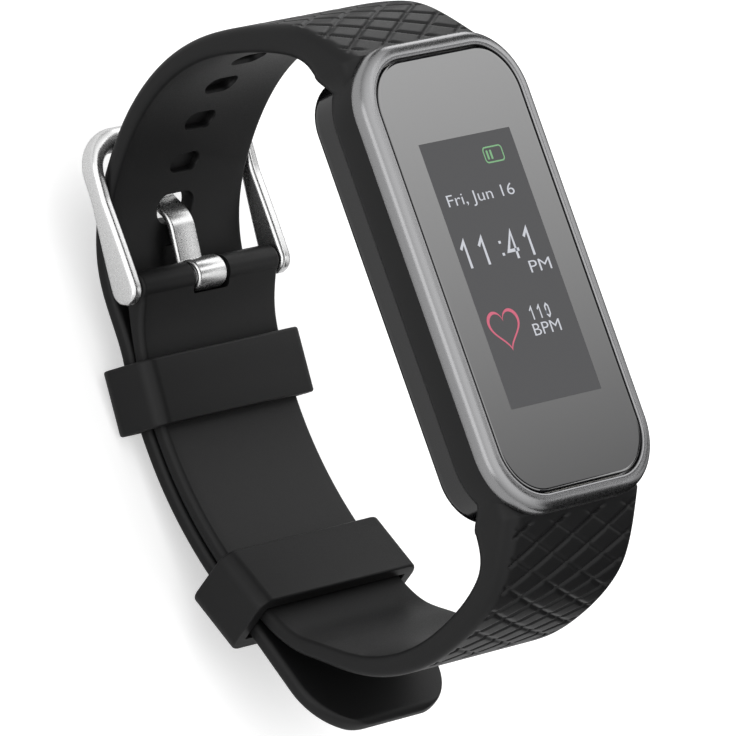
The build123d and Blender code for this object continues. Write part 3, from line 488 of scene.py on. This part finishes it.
def cubic(knots, values, places):
    """A natural cubic spline through values at knots, read at places."""
    steps = np.diff(knots)
    count = len(knots)
    table, right = np.eye(count), np.zeros((count, values.shape[1]))
    for i in range(1, count - 1):
        table[i, i - 1 : i + 2] = steps[i - 1], 2 * (steps[i - 1] + steps[i]), steps[i]
        right[i] = 6 * ((values[i + 1] - values[i]) / steps[i] - (values[i] - values[i - 1]) / steps[i - 1])
    bend = np.linalg.solve(table, right)
    k = np.clip(np.searchsorted(knots, places, "right") - 1, 0, count - 2)
    a, b, h = (places - knots[k])[:, None], (knots[k + 1] - places)[:, None], steps[k][:, None]
    return (bend[k] * b**3 + bend[k + 1] * a**3) / (6 * h) + (values[k] / h - bend[k] * h / 6) * b + (
        values[k + 1] / h - bend[k + 1] * h / 6) * a


def lengths(points):
    """How far along a line each of its points is."""
    return np.concatenate(([0], np.cumsum(np.hypot(*np.diff(points, axis=0).T))))


def strap_line(side, shape, join_radius, join_angle, rest, rest_thick=STRAP_T):
    """A strap's middle line, its direction and its half thickness, from the capsule's wall to its end."""
    root = np.array((side * ROOT_Y, RING_TOP - ROOT_T / 2))
    join = arc_point(join_radius, join_angle)
    bulges = [along(root, join, share, side * out) for share, out, thick in shape]
    knots = [root, *bulges, arc_point(join_radius, join_angle + LEAD_IN * side), join]
    thicknesses = np.array([ROOT_T, *(thick for share, out, thick in shape), STRAP_T, STRAP_T])
    at = lengths(np.array(knots))
    places = np.linspace(0, at[-1], 600)
    middle = np.concatenate((cubic(at, np.array(knots), places), rest))
    half = np.concatenate((np.interp(places, at, thicknesses), np.ones(len(rest)) * rest_thick)) / 2
    way = np.gradient(middle, lengths(middle), axis=0)
    way /= np.hypot(*way.T)[:, None]
    return middle, way, half, knots


tail_turn = np.linspace(OVERLAP_TOP, TAIL_LEAVES, 200)[1:]
tail_arc = np.array([arc_point(OUTER_MID, a) for a in tail_turn])
tail_way = np.array((-cos(radians(TAIL_LEAVES)), -sin(radians(TAIL_LEAVES))))
tail_line = tail_arc[-1] + np.linspace(0, TAIL_L, 120)[1:, None] * tail_way
hole_line = strap_line(1, HOLE_SHAPE, OUTER_MID, OVERLAP_TOP, np.concatenate((tail_arc, tail_line)))
buckle_turn = np.linspace(BUCKLE_LEAVES, BAR_AT, 300)[1:]
swell = np.clip((buckle_turn - SWELL_FROM) / (BAR_AT - SWELL_FROM), 0, 1)
swell = SWELL * swell * swell * (3 - 2 * swell)
buckle_arc = np.array([arc_point(INNER_MID - more / 2, a) for a, more in zip(buckle_turn, swell)])
buckle_line = strap_line(-1, BUCKLE_SHAPE, INNER_MID, BUCKLE_LEAVES, buckle_arc, STRAP_T + swell)
print("straps", [round(lengths(line[0])[-1], 1) for line in (hole_line, buckle_line)], "mm long")

# %% [markdown]
# ## Strap bodies with the moulded grooves
#
# The sections are rounded rectangles, widest edges at the capsule and slimmer along the strap. On the outside, next
# to the capsule, two families of straight grooves cross at 60 degrees. The grid of points is laid so that both
# families run exactly through its points: a step across the strap is a step along it divided by tan 30. So each
# groove is a clean V, moulded in the mesh, where a bump map would not change the outline or catch the light.

# %% Grooves
GROOVE_SLANT = radians(30)
GROOVE_PITCH = 2.5
GROOVES = {1: (0.22, 0.18), -1: (0.34, 0.14)}  # depth of each family, on the hole strap and on the buckle strap
GROOVE_HALF = 0.28
GROOVE_FROM, GROOVE_TO = 0.9, 16.5
GROOVE_SIDE = 7.3
FADE, SIDE_FADE = 0.4, 0.3
STEP_ALONG = GROOVE_PITCH / (20 if FINE else 10)
STEP_ACROSS = STEP_ALONG / sin(GROOVE_SLANT) * cos(GROOVE_SLANT)
ACROSS = int(7.4 / STEP_ACROSS)


def groove(run, x, side):
    """How deep the pattern is at a distance run from the capsule and x across."""
    if not GROOVE_FROM - FADE < run < GROOVE_TO + FADE or abs(x) > GROOVE_SIDE:
        return 0.0
    slope = x * sin(GROOVE_SLANT) / cos(GROOVE_SLANT)
    ends = min((run - GROOVE_FROM + FADE) / FADE, (GROOVE_TO + FADE - run) / FADE)
    fade = min(1, ends, (GROOVE_SIDE - abs(x)) / SIDE_FADE)
    depth = 0.0
    for place, deep in zip((run + slope, run - slope), GROOVES[side]):
        off = abs((place + GROOVE_PITCH / 2) % GROOVE_PITCH - GROOVE_PITCH / 2)
        depth = max(depth, deep * max(0.0, 1 - off / GROOVE_HALF))
    return depth * max(0.0, fade)


print("grid step", round(STEP_ALONG, 3), "along,", round(STEP_ACROSS, 3), "across")

# %% Section of the strap
def edge_radius(run, half):
    """Rounding of the strap's long edges."""
    wanted = np.interp(run, [0, 12, 20], [1.45, 0.65, 0.55])
    return min(wanted, 0.92 * half)


def section(middle, up, half_t, half_w, radius, run, side):
    """One closed outline: the outside in grid steps, a rounded side, the inside, the other side."""
    outline = []
    narrow = min(1.0, (half_w - 0.4 * radius) / (ACROSS * STEP_ACROSS))
    flat = half_w - radius
    for x in [j * STEP_ACROSS * narrow for j in range(-ACROSS, ACROSS + 1)]:
        over = max(0.0, abs(x) - flat)
        drop = radius - sqrt(max(0.0, radius * radius - over * over))
        outline.append((x, half_t - drop - groove(run, x, side)))
    start = atan2(over, sqrt(max(1e-9, radius**2 - over**2)))
    edge = [(flat + radius * sin(a), half_t - radius * (1 - cos(a))) for a in np.linspace(start, pi / 2, 9)[1:]]
    edge += [(flat + radius * sin(a), -half_t + radius * (1 + cos(a))) for a in np.linspace(pi / 2, pi, 10)]
    outline += edge
    outline += [(x, -half_t) for x in np.linspace(flat, -flat, 16)[1:-1]]
    outline += [(-x, height) for x, height in reversed(edge)]
    return [(x, middle[0] + height * up[0], middle[1] + height * up[1]) for x, height in outline]


# %% Strap meshes
FILLET = 3.0
SKIRT_T = 4.7
SKIRT_IN = 2.9
SKIRT_EDGE = 1.3
NO_GROOVE = -9
KNOT_EVERY = 40
TAIL_CORNER = 5.0
TIP_ROUND = 0.6
CLEAR = 0.02


def skirt(side):
    """Outlines from under the capsule's end out to its wall, where the root is deepest."""
    rings = []
    for inward in np.linspace(SKIRT_IN, 0.2, 14):
        spread = max(0.0, inward - 0.58)
        half_w = STRAP_W / 2 + FILLET - sqrt(FILLET**2 - min(spread, 2.0) ** 2)
        dip = (RING_TOP - SKIRT_T - RING_BOTTOM) * (1 + cos(pi * inward / SKIRT_IN)) / 2
        top, low = RING_TOP - CLEAR, RING_BOTTOM + CLEAR + dip
        place = np.array((side * (ROOT_Y - inward), (top + low) / 2))
        rings.append(section(place, np.array((0.0, 1.0)), (top - low) / 2, half_w, SKIRT_EDGE, NO_GROOVE, side))
    return rings


def strap_faces(line, side):
    """The strap's outer and inner line in the side view, smooth from the capsule's wall to the end."""
    middle, way, half, knots = line
    normal = side * np.stack((-way[:, 1], way[:, 0]), axis=1)
    at = lengths(middle)
    first = int(np.argmax(at > lengths(np.array(knots))[1]))
    knot_at = np.array((0.0, *at[first::KNOT_EVERY], at[-1] + 1e-6))
    fine = np.linspace(0, knot_at[-1], 4000)
    faces = []
    for height, offset in ((RING_TOP - CLEAR, half), (RING_TOP - SKIRT_T, -half)):
        face = middle + offset[:, None] * normal
        wall = [[side * (ROOT_Y - 0.05), height]]
        faces.append(cubic(knot_at, np.concatenate((wall, face[first::KNOT_EVERY], face[-1:])), fine))
    return faces


def strap_mesh(name, line, side, end_corner):
    """A strap from inside the capsule's wall to its end, which is square or has round corners."""
    outer, inner = strap_faces(line, side)
    at = lengths(outer)
    total = at[-1]
    stops = list(np.arange(0, GROOVE_TO + 1.0, STEP_ALONG))
    stops += list(np.arange(stops[-1] + 0.5, total - end_corner - 0.3, 0.5 if FINE else 1.0))
    if end_corner:
        stops += [total - end_corner * (1 - sin(a)) - 0.001 for a in np.linspace(0, pi / 2, 26)]
    else:
        stops.append(total - 0.001)
    rings = skirt(side)
    for run in stops:
        out, low = (np.array([np.interp(run, at, face[:, i]) for i in (0, 1)]) for face in (outer, inner))
        thick = float(np.hypot(*(out - low)))
        half_w, half_t = STRAP_W / 2, thick / 2
        left = total - run
        if end_corner and left < end_corner:
            half_w = STRAP_W / 2 - end_corner + sqrt(max(0.0, end_corner**2 - (end_corner - left) ** 2))
            half_t *= sqrt(1 - max(0.0, 1 - left / TIP_ROUND) ** 2 * 0.93)
        radius = edge_radius(run, half_t)
        rings.append(section((out + low) / 2, (out - low) / thick, half_t, half_w, radius, run, side))
    return loft(name, rings)


hole_strap = strap_mesh("strap_holes", hole_line, 1, TAIL_CORNER)
buckle_strap = strap_mesh("strap_buckle", buckle_line, -1, 0.0)
print(len(hole_strap.data.polygons), len(buckle_strap.data.polygons), "faces")

# %% [markdown]
# ## The band as one moulding
#
# The strap is moulded in one piece with the wall round the capsule, so the wall, both straps and the rolled end that
# holds the spring bar are united, and the capsule's seat, the adjustment holes, the bar's bore and the slot for the
# tongue are cut out. Each hole cutter flares towards both faces, which leaves the soft edge that moulded holes have.
# On the real band the holes go through. Here the unused ones keep a thin web at mid-depth, a sheet of painted shade
# that makes them read dark instead of showing the floor behind, and only the tongue's own hole goes through.

# %% Wall round the capsule
RING_OUT = BEZEL_OUT - 0.2
wall_profile = [(RING_OUT - 0.12, RING_TOP), (RING_OUT - 0.03, RING_TOP - 0.04), (RING_OUT, RING_TOP - 0.14)]
wall_profile += [(RING_OUT, RING_BOTTOM + 0.65), (RING_OUT - 0.05, RING_BOTTOM + 0.4)]
wall_profile += [(RING_OUT - 0.19, RING_BOTTOM + 0.19), (RING_OUT - 0.4, RING_BOTTOM + 0.05)]
wall_profile += [(RING_OUT - 0.6, RING_BOTTOM)]
wall = loft("band_moulding", around(wall_profile, 24))


def rod(name, centre, radius, half_length, soft=0.0, sides=64):
    """A rod across the band, its ends rounded by soft."""
    ends = [(half_length - soft * (1 - sin(a)), radius - soft * (1 - cos(a))) for a in np.linspace(0, pi / 2, 6)]
    stops = [(-x, r) for x, r in reversed(ends)] + ends if soft else [(-half_length, radius), (half_length, radius)]
    turns = [2 * pi * i / sides for i in range(sides)]
    return loft(name, [[(x, centre[0] + r * cos(t), centre[1] + r * sin(t)) for t in turns] for x, r in stops])


# %% Cutters for the holes
HOLE_L, HOLE_H, HOLE_PITCH = 3.2, 1.6, 4.05
TONGUE_HOLE_L, TONGUE_HOLE_H = 4.2, 2.3
HOLES_ABOVE, HOLES_BELOW = 4, 7
FLARE = [(0.5, 0), (0.62, 0.08), (0.7, 0.2), (1.2, 0.7)]  # height from mid-depth, and how much wider the hole is
# Thickness of the web left in the unused holes: painted shade, since the real holes go through.
SHADE_WEB_T = 0.12


def across_plane(place, way, outline, height):
    """An outline laid on the strap at a place: its x across, its y along the way, raised by a height."""
    up = np.array((way[1], -way[0]))
    return [(x, *(np.array(place) + y * np.array(way) + height * up)) for x, y in outline]


def on_hole_strap(run):
    """The hole strap's middle and direction at a distance from the capsule."""
    return [np.array([np.interp(run, hole_run, line[:, i]) for i in (0, 1)]) for line in hole_line[:2]]


hole_run = lengths(hole_line[0])
hole_knots = hole_line[3]
to_tongue = lengths(np.array(hole_knots))[1 + TONGUE_HOLE]
cutters = []
for k in range(-HOLES_ABOVE, HOLES_BELOW + 1):
    place, way = on_hole_strap(to_tongue + k * HOLE_PITCH)
    way = way / -np.hypot(*way)
    low_side = [(-height, wider) for height, wider in FLARE]
    # Unused holes are cut from both faces and stop at a web in the middle, a sheet of painted shade.
    if k:
        long, high = HOLE_L, HOLE_H
        parts = [[(SHADE_WEB_T / 2, 0)] + FLARE, [(-SHADE_WEB_T / 2, 0)] + low_side]
    else:
        long, high = TONGUE_HOLE_L, TONGUE_HOLE_H
        parts = [low_side[::-1] + FLARE]
    for part in parts:
        rings = []
        for height, wider in part:
            outline = rounded_rect(long + wider, high + wider, (high + wider) / 2 - 0.001, 12)
            rings.append(across_plane(place, way, outline, height))
        cutters.append(loft("hole_cutter", rings))
print(len(cutters), "hole cutters")

# %% The whole band
BEAD_R = 1.2
BORE_R = 0.79
SLOT_W, SLOT_L = 4.2, 4.8
SLOT_IN = -1.55
SEAT_R = 3.45
SEAT_W, SEAT_L = GLASS_W + 2 * HOUSING_OUT, GLASS_L + 2 * HOUSING_OUT
seat = loft("seat_cutter", [[(x, y, z) for x, y in rounded_rect(SEAT_W, SEAT_L, SEAT_R, 24)] for z in (-8, 0)])
slot_cut = loft("slot_cutter", [
    [(x, BAR[0] + SLOT_IN + SLOT_L / 2 + y, z) for x, y in rounded_rect(SLOT_W, SLOT_L, 0.3, 6)]
    for z in (BAR[1] - 2 * BEAD_R, BAR[1] + 2 * BEAD_R)
])
combine(hole_strap, "DIFFERENCE", *cutters)
combine(buckle_strap, "UNION", rod("roll", BAR, BEAD_R, STRAP_W / 2, 0.35))
combine(buckle_strap, "DIFFERENCE", rod("bore", BAR, BORE_R, STRAP_W), slot_cut)
band = combine(wall, "UNION", hole_strap, buckle_strap)
combine(band, "DIFFERENCE", seat)
settle(band, silicone, "silicone_black", "band", sharp=38)

# %% [markdown]
# ## Keepers
#
# Two loops moulded from the same silicone. The outside is a flat-faced block with rounded corners, as moulded, and the
# inside follows the strap's arc so that the loop slides with an even gap. Each is one closed row of outlines: along
# the outside, round the edge, and back along the inside.

# %% Keeper loops
KEEPER_L, KEEPER_WALL, KEEPER_FIT = 5.4, 1.2, 0.15
KEEPER_ROUND = 1.25
KEEPER_EDGE = 0.22
INNER_EDGE = 0.06
INNER_ROUND = 0.08
TAIL_OUT = OUTER_MID + STRAP_T / 2
KEEPERS = (("keeper_upper", 6.3, 0.0), ("keeper_lower", -24.5, 0.45))  # place on the arc, extra room for the tail


def keeper_outline(low, high, half_w, radius, y, angle, bowed):
    """One outline of a keeper, square to the strap, y along it. Bowed outlines keep to the arc."""
    middle, height = (low + high) / 2, high - low
    outline = []
    for x, h in rounded_rect(2 * half_w, height, radius, 10):
        reach = middle + h
        reach = sqrt(reach**2 - y**2) if bowed else reach
        turn = radians(angle)
        outline.append((x, ARC[0] + reach * sin(turn) + y * cos(turn), ARC[1] - reach * cos(turn) + y * sin(turn)))
    return outline


half_l = KEEPER_L / 2
edge = []
for i in range(7):
    turn = radians(90 * i / 6)
    edge.append((KEEPER_WALL - KEEPER_EDGE * (1 - sin(turn)), half_l - KEEPER_EDGE * (1 - cos(turn)), False))
outside = edge + [(KEEPER_WALL, y, False) for y in (1, 0, -1)] + [(wall_t, -y, flat) for wall_t, y, flat in edge[::-1]]
inside = [(INNER_EDGE, -half_l, True), (0, INNER_EDGE - half_l, True)]
inside += [(0, y, True) for y in np.linspace(-2.2, 2.2, 9)]
inside += [(0, half_l - INNER_EDGE, True), (INNER_EDGE, half_l, True)]
for name, angle, extra in KEEPERS:
    low, high = ARC_R - KEEPER_FIT, TAIL_OUT + KEEPER_FIT + extra
    half_w = STRAP_W / 2 + KEEPER_FIT
    rows = []
    for wall_t, y, bowed in outside + inside:
        radius = KEEPER_ROUND * wall_t / KEEPER_WALL + INNER_ROUND
        rows.append(keeper_outline(low - wall_t, high + wall_t, half_w + wall_t, radius, y, angle, bowed))
    keeper = loft(name + "_loop_mesh", rows, ring_closed=True)
    settle(keeper, silicone, "silicone_black", name, body=name + "_loop", sharp=40)

# %% [markdown]
# ## Buckle frame
#
# A cast U of satin steel: two flat arms whose height narrows to a waist, rounded at the spring bar, running through
# rounded corners into a round front bar. It is one sweep along the U, its section changing from a flat plate to a
# round bar. Separate arms and bar would show seams at the corners.

# %% Buckle sizes
ARM_T = 1.1
ARM_IN = STRAP_W / 2 + 0.2
ARM_OUT = ARM_IN + ARM_T
ARM_END_R = 1.3
ARM_WAIST = 0.775
FRONT_R = 1.0
CORNER = 3.6
FRONT_ON, FRONT_FIT = 5.15, 0.89  # front bar from the tongue's hole, and its gap over the strap
WAIST_AT = 0.6
THINNEST = 0.16
ARM_EDGE, BAR_EDGE = 0.42, 0.57
PIN_BORE_R, PIN_IN_ARM = 0.43, 0.85
beside, beside_way = on_hole_strap(to_tongue - FRONT_ON)
FRONT = beside + (STRAP_T / 2 + FRONT_FIT + FRONT_R) * np.array((-beside_way[1], beside_way[0]))
reach = float(np.hypot(*(FRONT - np.array(BAR))))
ahead = (FRONT - np.array(BAR)) / reach
above = np.array((-ahead[1], ahead[0]))


def arm_height(d):
    """Half the arm's height at a distance d from the spring bar towards the front bar."""
    if d < 0:
        return max(THINNEST, sqrt(max(0.0, ARM_END_R**2 - d * d)))
    share = d / (WAIST_AT * reach)
    if share < 1:
        return ARM_END_R + (ARM_WAIST - ARM_END_R) * share**1.3
    share = (d - WAIST_AT * reach) / ((1 - WAIST_AT) * reach)
    return ARM_WAIST + (FRONT_R - ARM_WAIST) * min(1, share) ** 1.5


def end_width(d):
    """Half the arm's thickness, slightly less at its rounded end."""
    return ARM_T / 2 * (1 if d > -0.9 else sqrt(max(0.3, 1 - ((-0.9 - d) / 0.4) ** 2 * 0.6)))


# %% Buckle frame, swept and bored
corner_at = reach + FRONT_R - CORNER
arm = [-ARM_END_R * cos(turn) for turn in np.linspace(0, pi / 2, 14)[:-1]] + list(np.linspace(0, corner_at, 24))
half_u = [(ARM_OUT - ARM_T / 2, d, (1, 0), end_width(d), arm_height(d), ARM_EDGE) for d in arm]
for turn in np.linspace(0, pi / 2, 20)[1:]:
    share = (1 - cos(2 * turn)) / 2
    thick = ARM_T / 2 + (FRONT_R - ARM_T / 2) * share
    x, d = ARM_OUT - CORNER + (CORNER - thick) * cos(turn), corner_at + (CORNER - thick) * sin(turn)
    half_u.append((x, d, (cos(turn), sin(turn)), thick, arm_height(d), ARM_EDGE + BAR_EDGE * share))
other_half = [(-x, d, (-out[0], out[1]), *sizes) for x, d, out, *sizes in reversed(half_u)]
rings = []
for x, d, out, half_w, half_h, radius in half_u + other_half:
    ring = []
    for wide, height in rounded_rect(2 * half_w, 2 * half_h, min(radius, 0.98 * half_w, 0.98 * half_h), 8):
        point = np.array(BAR) + (d + wide * out[1]) * ahead + height * above
        ring.append((x + wide * out[0], *point))
    rings.append(ring)
buckle = loft("buckle_cast", rings)
combine(buckle, "DIFFERENCE", rod("pin_bore", BAR, PIN_BORE_R, ARM_IN + PIN_IN_ARM, sides=24))
settle(buckle, steel, "buckle_steel", "buckle_frame", body="buckle", sharp=40)

# %% [markdown]
# ## Tongue
#
# A stamped strip of the same steel, curled round the spring bar at one end. It climbs over the strap, dips through a
# hole and runs out over the front bar. One strip section is swept along that line, curl included, which is how the
# real one is formed; it widens towards the curl.

# %% Tongue sweep
TONGUE_W, TONGUE_T = 2.8, 0.6
EYE_W, EYE_T = 3.3, 0.52
EYE_MID = BORE_R + 0.28
BEND = 2.2
TIP_L = 0.5
OVER_BAR = 0.18


def rounded_path(points, radius, steps=8):
    """A line through the points with its corners rounded."""
    points = [np.array(p, float) for p in points]
    path = [points[0]]
    for before, here, after in zip(points, points[1:], points[2:]):
        back, on = before - here, after - here
        back, on = back / np.hypot(*back), on / np.hypot(*on)
        half = pi / 2 - np.arccos(np.clip(back @ on, -1, 1)) / 2
        cut = radius * sin(half) / cos(half)
        centre = here + (back + on) / np.hypot(*(back + on)) * radius / cos(half)
        first, last = here + back * cut - centre, here + on * cut - centre
        turn = atan2(first[0] * last[1] - first[1] * last[0], float(first @ last))
        for t in np.linspace(0, turn, steps):
            spoke = np.array((first[0] * cos(t) - first[1] * sin(t), first[0] * sin(t) + first[1] * cos(t)))
            path.append(centre + spoke)
    return path + [points[-1]]


tongue_place = hole_knots[1 + TONGUE_HOLE]
blade = rounded_path([
    (BAR[0] + 0.3, BAR[1] - EYE_MID + 0.01),
    tongue_place + (-1.15, 0.68),
    tongue_place + (1.25, -0.74),
    FRONT + (1.3, -FRONT_R - OVER_BAR - TONGUE_T / 2),
], BEND)
curl_turns = np.linspace(radians(-318), radians(-2), 44)
curl = [(BAR[0] + EYE_MID * sin(t), BAR[1] - EYE_MID * cos(t)) for t in curl_turns]
curl_end = lengths(np.array(curl))[-1]
path = np.array([*curl, *blade])
path = np.array([path[0], *(after for before, after in zip(path, path[1:]) if np.hypot(*(after - before)) > 0.02)])
path_run = lengths(path)
tip_stops = path_run[-1] - TIP_L * (1 - np.sin(np.linspace(0, pi / 2, 7)))
stops = np.unique(np.concatenate((np.linspace(0, path_run[-1], 150), tip_stops)))
strip = np.array([[np.interp(run, path_run, path[:, i]) for i in (0, 1)] for run in stops])
strip_way = np.gradient(strip, stops, axis=0)
strip_way /= np.hypot(*strip_way.T)[:, None]
rings = []
for run, place, way in zip(stops, strip, strip_way):
    share = min(1, max(0, (run - curl_end + 0.2) / 0.8))
    share = share * share * (3 - 2 * share)
    width, thick = EYE_W + (TONGUE_W - EYE_W) * share, EYE_T + (TONGUE_T - EYE_T) * share
    tip = max(0.0, 1 - (path_run[-1] - run) / TIP_L)
    width, thick = width - 1.0 * tip**2, thick * sqrt(1 - 0.7 * tip**2)
    normal = np.array((-way[1], way[0]))
    rings.append([(x, *(place + h * normal)) for x, h in rounded_rect(width, thick, 0.45 * thick, 6)])
settle(loft("tongue_strip", rings), steel, "buckle_steel", "buckle_tongue", body="tongue", sharp=40)

# %% [markdown]
# ## Coil spring of the spring bar
#
# Inside the bar's tube a fine coil spring pushes both tips outwards. Pressing a tip shortens its side of the coil, so
# the coil is made as two halves that start at the middle of the bar, each with a mesh of its own. The wire's round
# section is swept along a helix, which keeps the turns real geometry.

# %% Two half coils
WIRE_R, HALF_TURNS, TIP_STROKE = 0.12, 6, 1.0
coil_low, coil_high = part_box("bar_spring")
HALF_COIL = (coil_high.x - coil_low.x) / 2 / MM - WIRE_R
COIL_R = (coil_high.z - coil_low.z) / 2 / MM - WIRE_R
for side, way in (("left", -1), ("right", 1)):
    rings = []
    for share in np.linspace(0, 1, HALF_TURNS * (24 if FINE else 12) + 1):
        turn = 2 * pi * HALF_TURNS * share * way
        ring = []
        for around_wire in np.linspace(0, 2 * pi, 10, endpoint=False):
            radius = COIL_R + WIRE_R * cos(around_wire)
            x = way * share * HALF_COIL + WIRE_R * sin(around_wire)
            ring.append((x, BAR[0] + radius * cos(turn), BAR[1] + radius * sin(turn)))
        rings.append(ring)
    half = settle(loft("spring_half_" + side, rings), FINISHES["screw_steel"], "screw_steel", "bar_spring", sharp=60)
    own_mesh(half)
print("half coil", round(HALF_COIL, 2), "long, pressed", TIP_STROKE, "shorter")

# %% [markdown]
# ## Floor
#
# A large white sheet under the band. It glows only where the camera looks straight at it, so the ground is white and
# keeps the band's soft contact shadow, while no extra light from below washes out the dark strap.

# %% Floor
FLOOR_HALF = 2.0
FLOOR_LIFT = 0.5


def flat_sheet(name, corners, material):
    """One flat face in the row frame, which isn't part of the object."""
    mesh = bpy.data.meshes.new(name)
    mesh.from_pydata([tuple(corner) for corner in corners], [], [(0, 1, 2, 3)])
    mesh.materials.append(material)
    made = bpy.data.objects.new(name, mesh)
    bpy.context.scene.collection.objects.link(made)
    return made


floor_material = material("floor_white", (0.8, 0.8, 0.8), roughness=0.9, Specular_IOR_Level=0.0,
                          Emission_Color=(1, 1, 1, 1))
nodes, links = floor_material.node_tree.nodes, floor_material.node_tree.links
seen_by = nodes.new("ShaderNodeLightPath")
lift = nodes.new("ShaderNodeMath")
lift.operation = "MULTIPLY"
lift.inputs[1].default_value = FLOOR_LIFT
links.new(seen_by.outputs["Is Camera Ray"], lift.inputs[0])
links.new(lift.outputs["Value"], nodes["Principled BSDF"].inputs["Emission Strength"])
corners = [(x * FLOOR_HALF, y * FLOOR_HALF, 0) for x, y in ((-1, -1), (1, -1), (1, 1), (-1, 1))]
flat_sheet("floor", corners, floor_material)

# %% [markdown]
# ## Sky
#
# Even light from all round, brighter from above, as inside a white light tent. Lamps would throw hard-edged shadows. One
# helper makes the change of strength along an axis, and the light panel uses it again.

# %% Sky
SKY_LOW, SKY_HIGH = 0.45, 1.45


def rising(tree, coordinate, axis, span, strengths):
    """A value that rises along an axis, from one strength to the other over a span."""
    place = tree.nodes.new("ShaderNodeTexCoord")
    split = tree.nodes.new("ShaderNodeSeparateXYZ")
    ramp = tree.nodes.new("ShaderNodeMapRange")
    for socket, value in zip(("From Min", "From Max", "To Min", "To Max"), (*span, *strengths)):
        ramp.inputs[socket].default_value = value
    tree.links.new(place.outputs[coordinate], split.inputs["Vector"])
    tree.links.new(split.outputs[axis], ramp.inputs["Value"])
    return ramp.outputs["Result"]


world = bpy.data.worlds.new("sky")
world.use_nodes = True
background = world.node_tree.nodes["Background"]
background.inputs["Color"].default_value = (1, 1, 1, 1)
world.node_tree.links.new(rising(world.node_tree, "Generated", "Z", (0.0, 1.0), (SKY_LOW, SKY_HIGH)),
                          background.inputs["Strength"])
bpy.context.scene.world = world
bpy.context.scene.view_settings.view_transform = "Standard"

# %% [markdown]
# ## Light panel and cards
#
# Glass and metal show only what they mirror. A large panel stands where the glass mirrors it and fades to black
# towards the band's foot, so the glass goes from light grey to dark grey. Small black and white cards do the same for
# the bezel's ends, the strap's top, the tongue and the left side. They show in reflections only, and cast no shadow.

# %% Light panel and cards
PANEL_FAR = 0.6
PANEL_HALF = 0.3
PANEL_SPAN, PANEL_GLOW = (0.0016, 0.098), 1.67
PANEL_WAY = Vector((0.739, 0.102, 0.666)).normalized()
PANEL_MIDDLE = ORIGIN + PANEL_WAY * PANEL_FAR
PANEL_SIDE = PANEL_WAY.cross(Vector((0, 1, 0))).normalized()


def plain_glow(name, strength):
    """A material that only shines, evenly."""
    made = bpy.data.materials.new(name)
    made.use_nodes = True
    tree = made.node_tree
    tree.nodes.clear()
    glow = tree.nodes.new("ShaderNodeEmission")
    glow.inputs["Strength"].default_value = strength
    out = tree.nodes.new("ShaderNodeOutputMaterial")
    tree.links.new(glow.outputs["Emission"], out.inputs["Surface"])
    return made


def card(name, middle, across, up, material):
    """A flat card given by its middle and its two half sides, seen only in reflections."""
    middle, across, up = Vector(middle), Vector(across), Vector(up)
    corners = [middle + across * a + up * b for a, b in ((-1, -1), (1, -1), (1, 1), (-1, 1))]
    made = flat_sheet(name, corners, material)
    made.visible_camera = made.visible_diffuse = made.visible_shadow = False


panel_glow = plain_glow("panel_glow", PANEL_GLOW)
panel_glow.node_tree.links.new(rising(panel_glow.node_tree, "Object", "Y", PANEL_SPAN, (0.0, PANEL_GLOW)),
                               panel_glow.node_tree.nodes["Emission"].inputs["Strength"])
card("panel_over_glass", PANEL_MIDDLE + Vector((0, 0.1, 0)), PANEL_SIDE * PANEL_HALF, (0, PANEL_HALF, 0), panel_glow)
black = plain_glow("black_card", 0.0)
card("black_card_right", (0.35, 0.0, 0.001), (0.31, 0, 0), (0, 0.5, 0), black)
card("black_card_foot", (0.06, -0.075, 0.06), (0, 0.035, 0), (0, 0, 0.05), black)
card("black_card_head", (0.06, 0.060, 0.075), (0, 0.018, 0), (0, 0, 0.03), black)
card("white_card_strap", (0.06, 0.078, 0.021), (0, 0.022, 0), (0, 0, 0.021), plain_glow("strap_card", 1.9))
tongue_card_at = PANEL_MIDDLE - PANEL_WAY * 0.01 - PANEL_SIDE * 0.051 - Vector((0, 0.135, 0))
card("white_card_tongue", tongue_card_at, PANEL_SIDE * 0.039, (0, 0.067, 0), plain_glow("tongue_card", 1.7))
card("white_card_left", (-0.42, 0.02, 0.16), (0, 0.25, 0), (0.03, 0, 0.12), plain_glow("white_card", 1.9))

# %% [markdown]
# ## Camera
#
# It looks down on the band from its left, from over half a metre away and through a long lens, which keeps the band
# nearly free of perspective. Its place and its three directions are given from the glass, with no shift.

# %% Camera
CAMERA_AT = Vector((-563.38, -80.01, 490.55))
CAMERA_RIGHT = Vector((0.65692, -0.32911, 0.67834))
CAMERA_UP = Vector((0.15034, 0.93881, 0.30989))
CAMERA_BACK = Vector((-0.73882, -0.10159, 0.66620))
camera_data = bpy.data.cameras.new("camera")
camera_data.lens = 474.82
camera_data.sensor_width = 36.0
camera_data.clip_start, camera_data.clip_end = 0.05, 20.0
camera = bpy.data.objects.new("camera", camera_data)
turn = Matrix((CAMERA_RIGHT, CAMERA_UP, CAMERA_BACK)).transposed().to_4x4()
camera.matrix_world = Matrix.Translation(ORIGIN + CAMERA_AT * MM) @ turn
bpy.context.scene.collection.objects.link(camera)
bpy.context.scene.camera = camera
print("camera", [round(v, 3) for v in camera.matrix_world.translation])
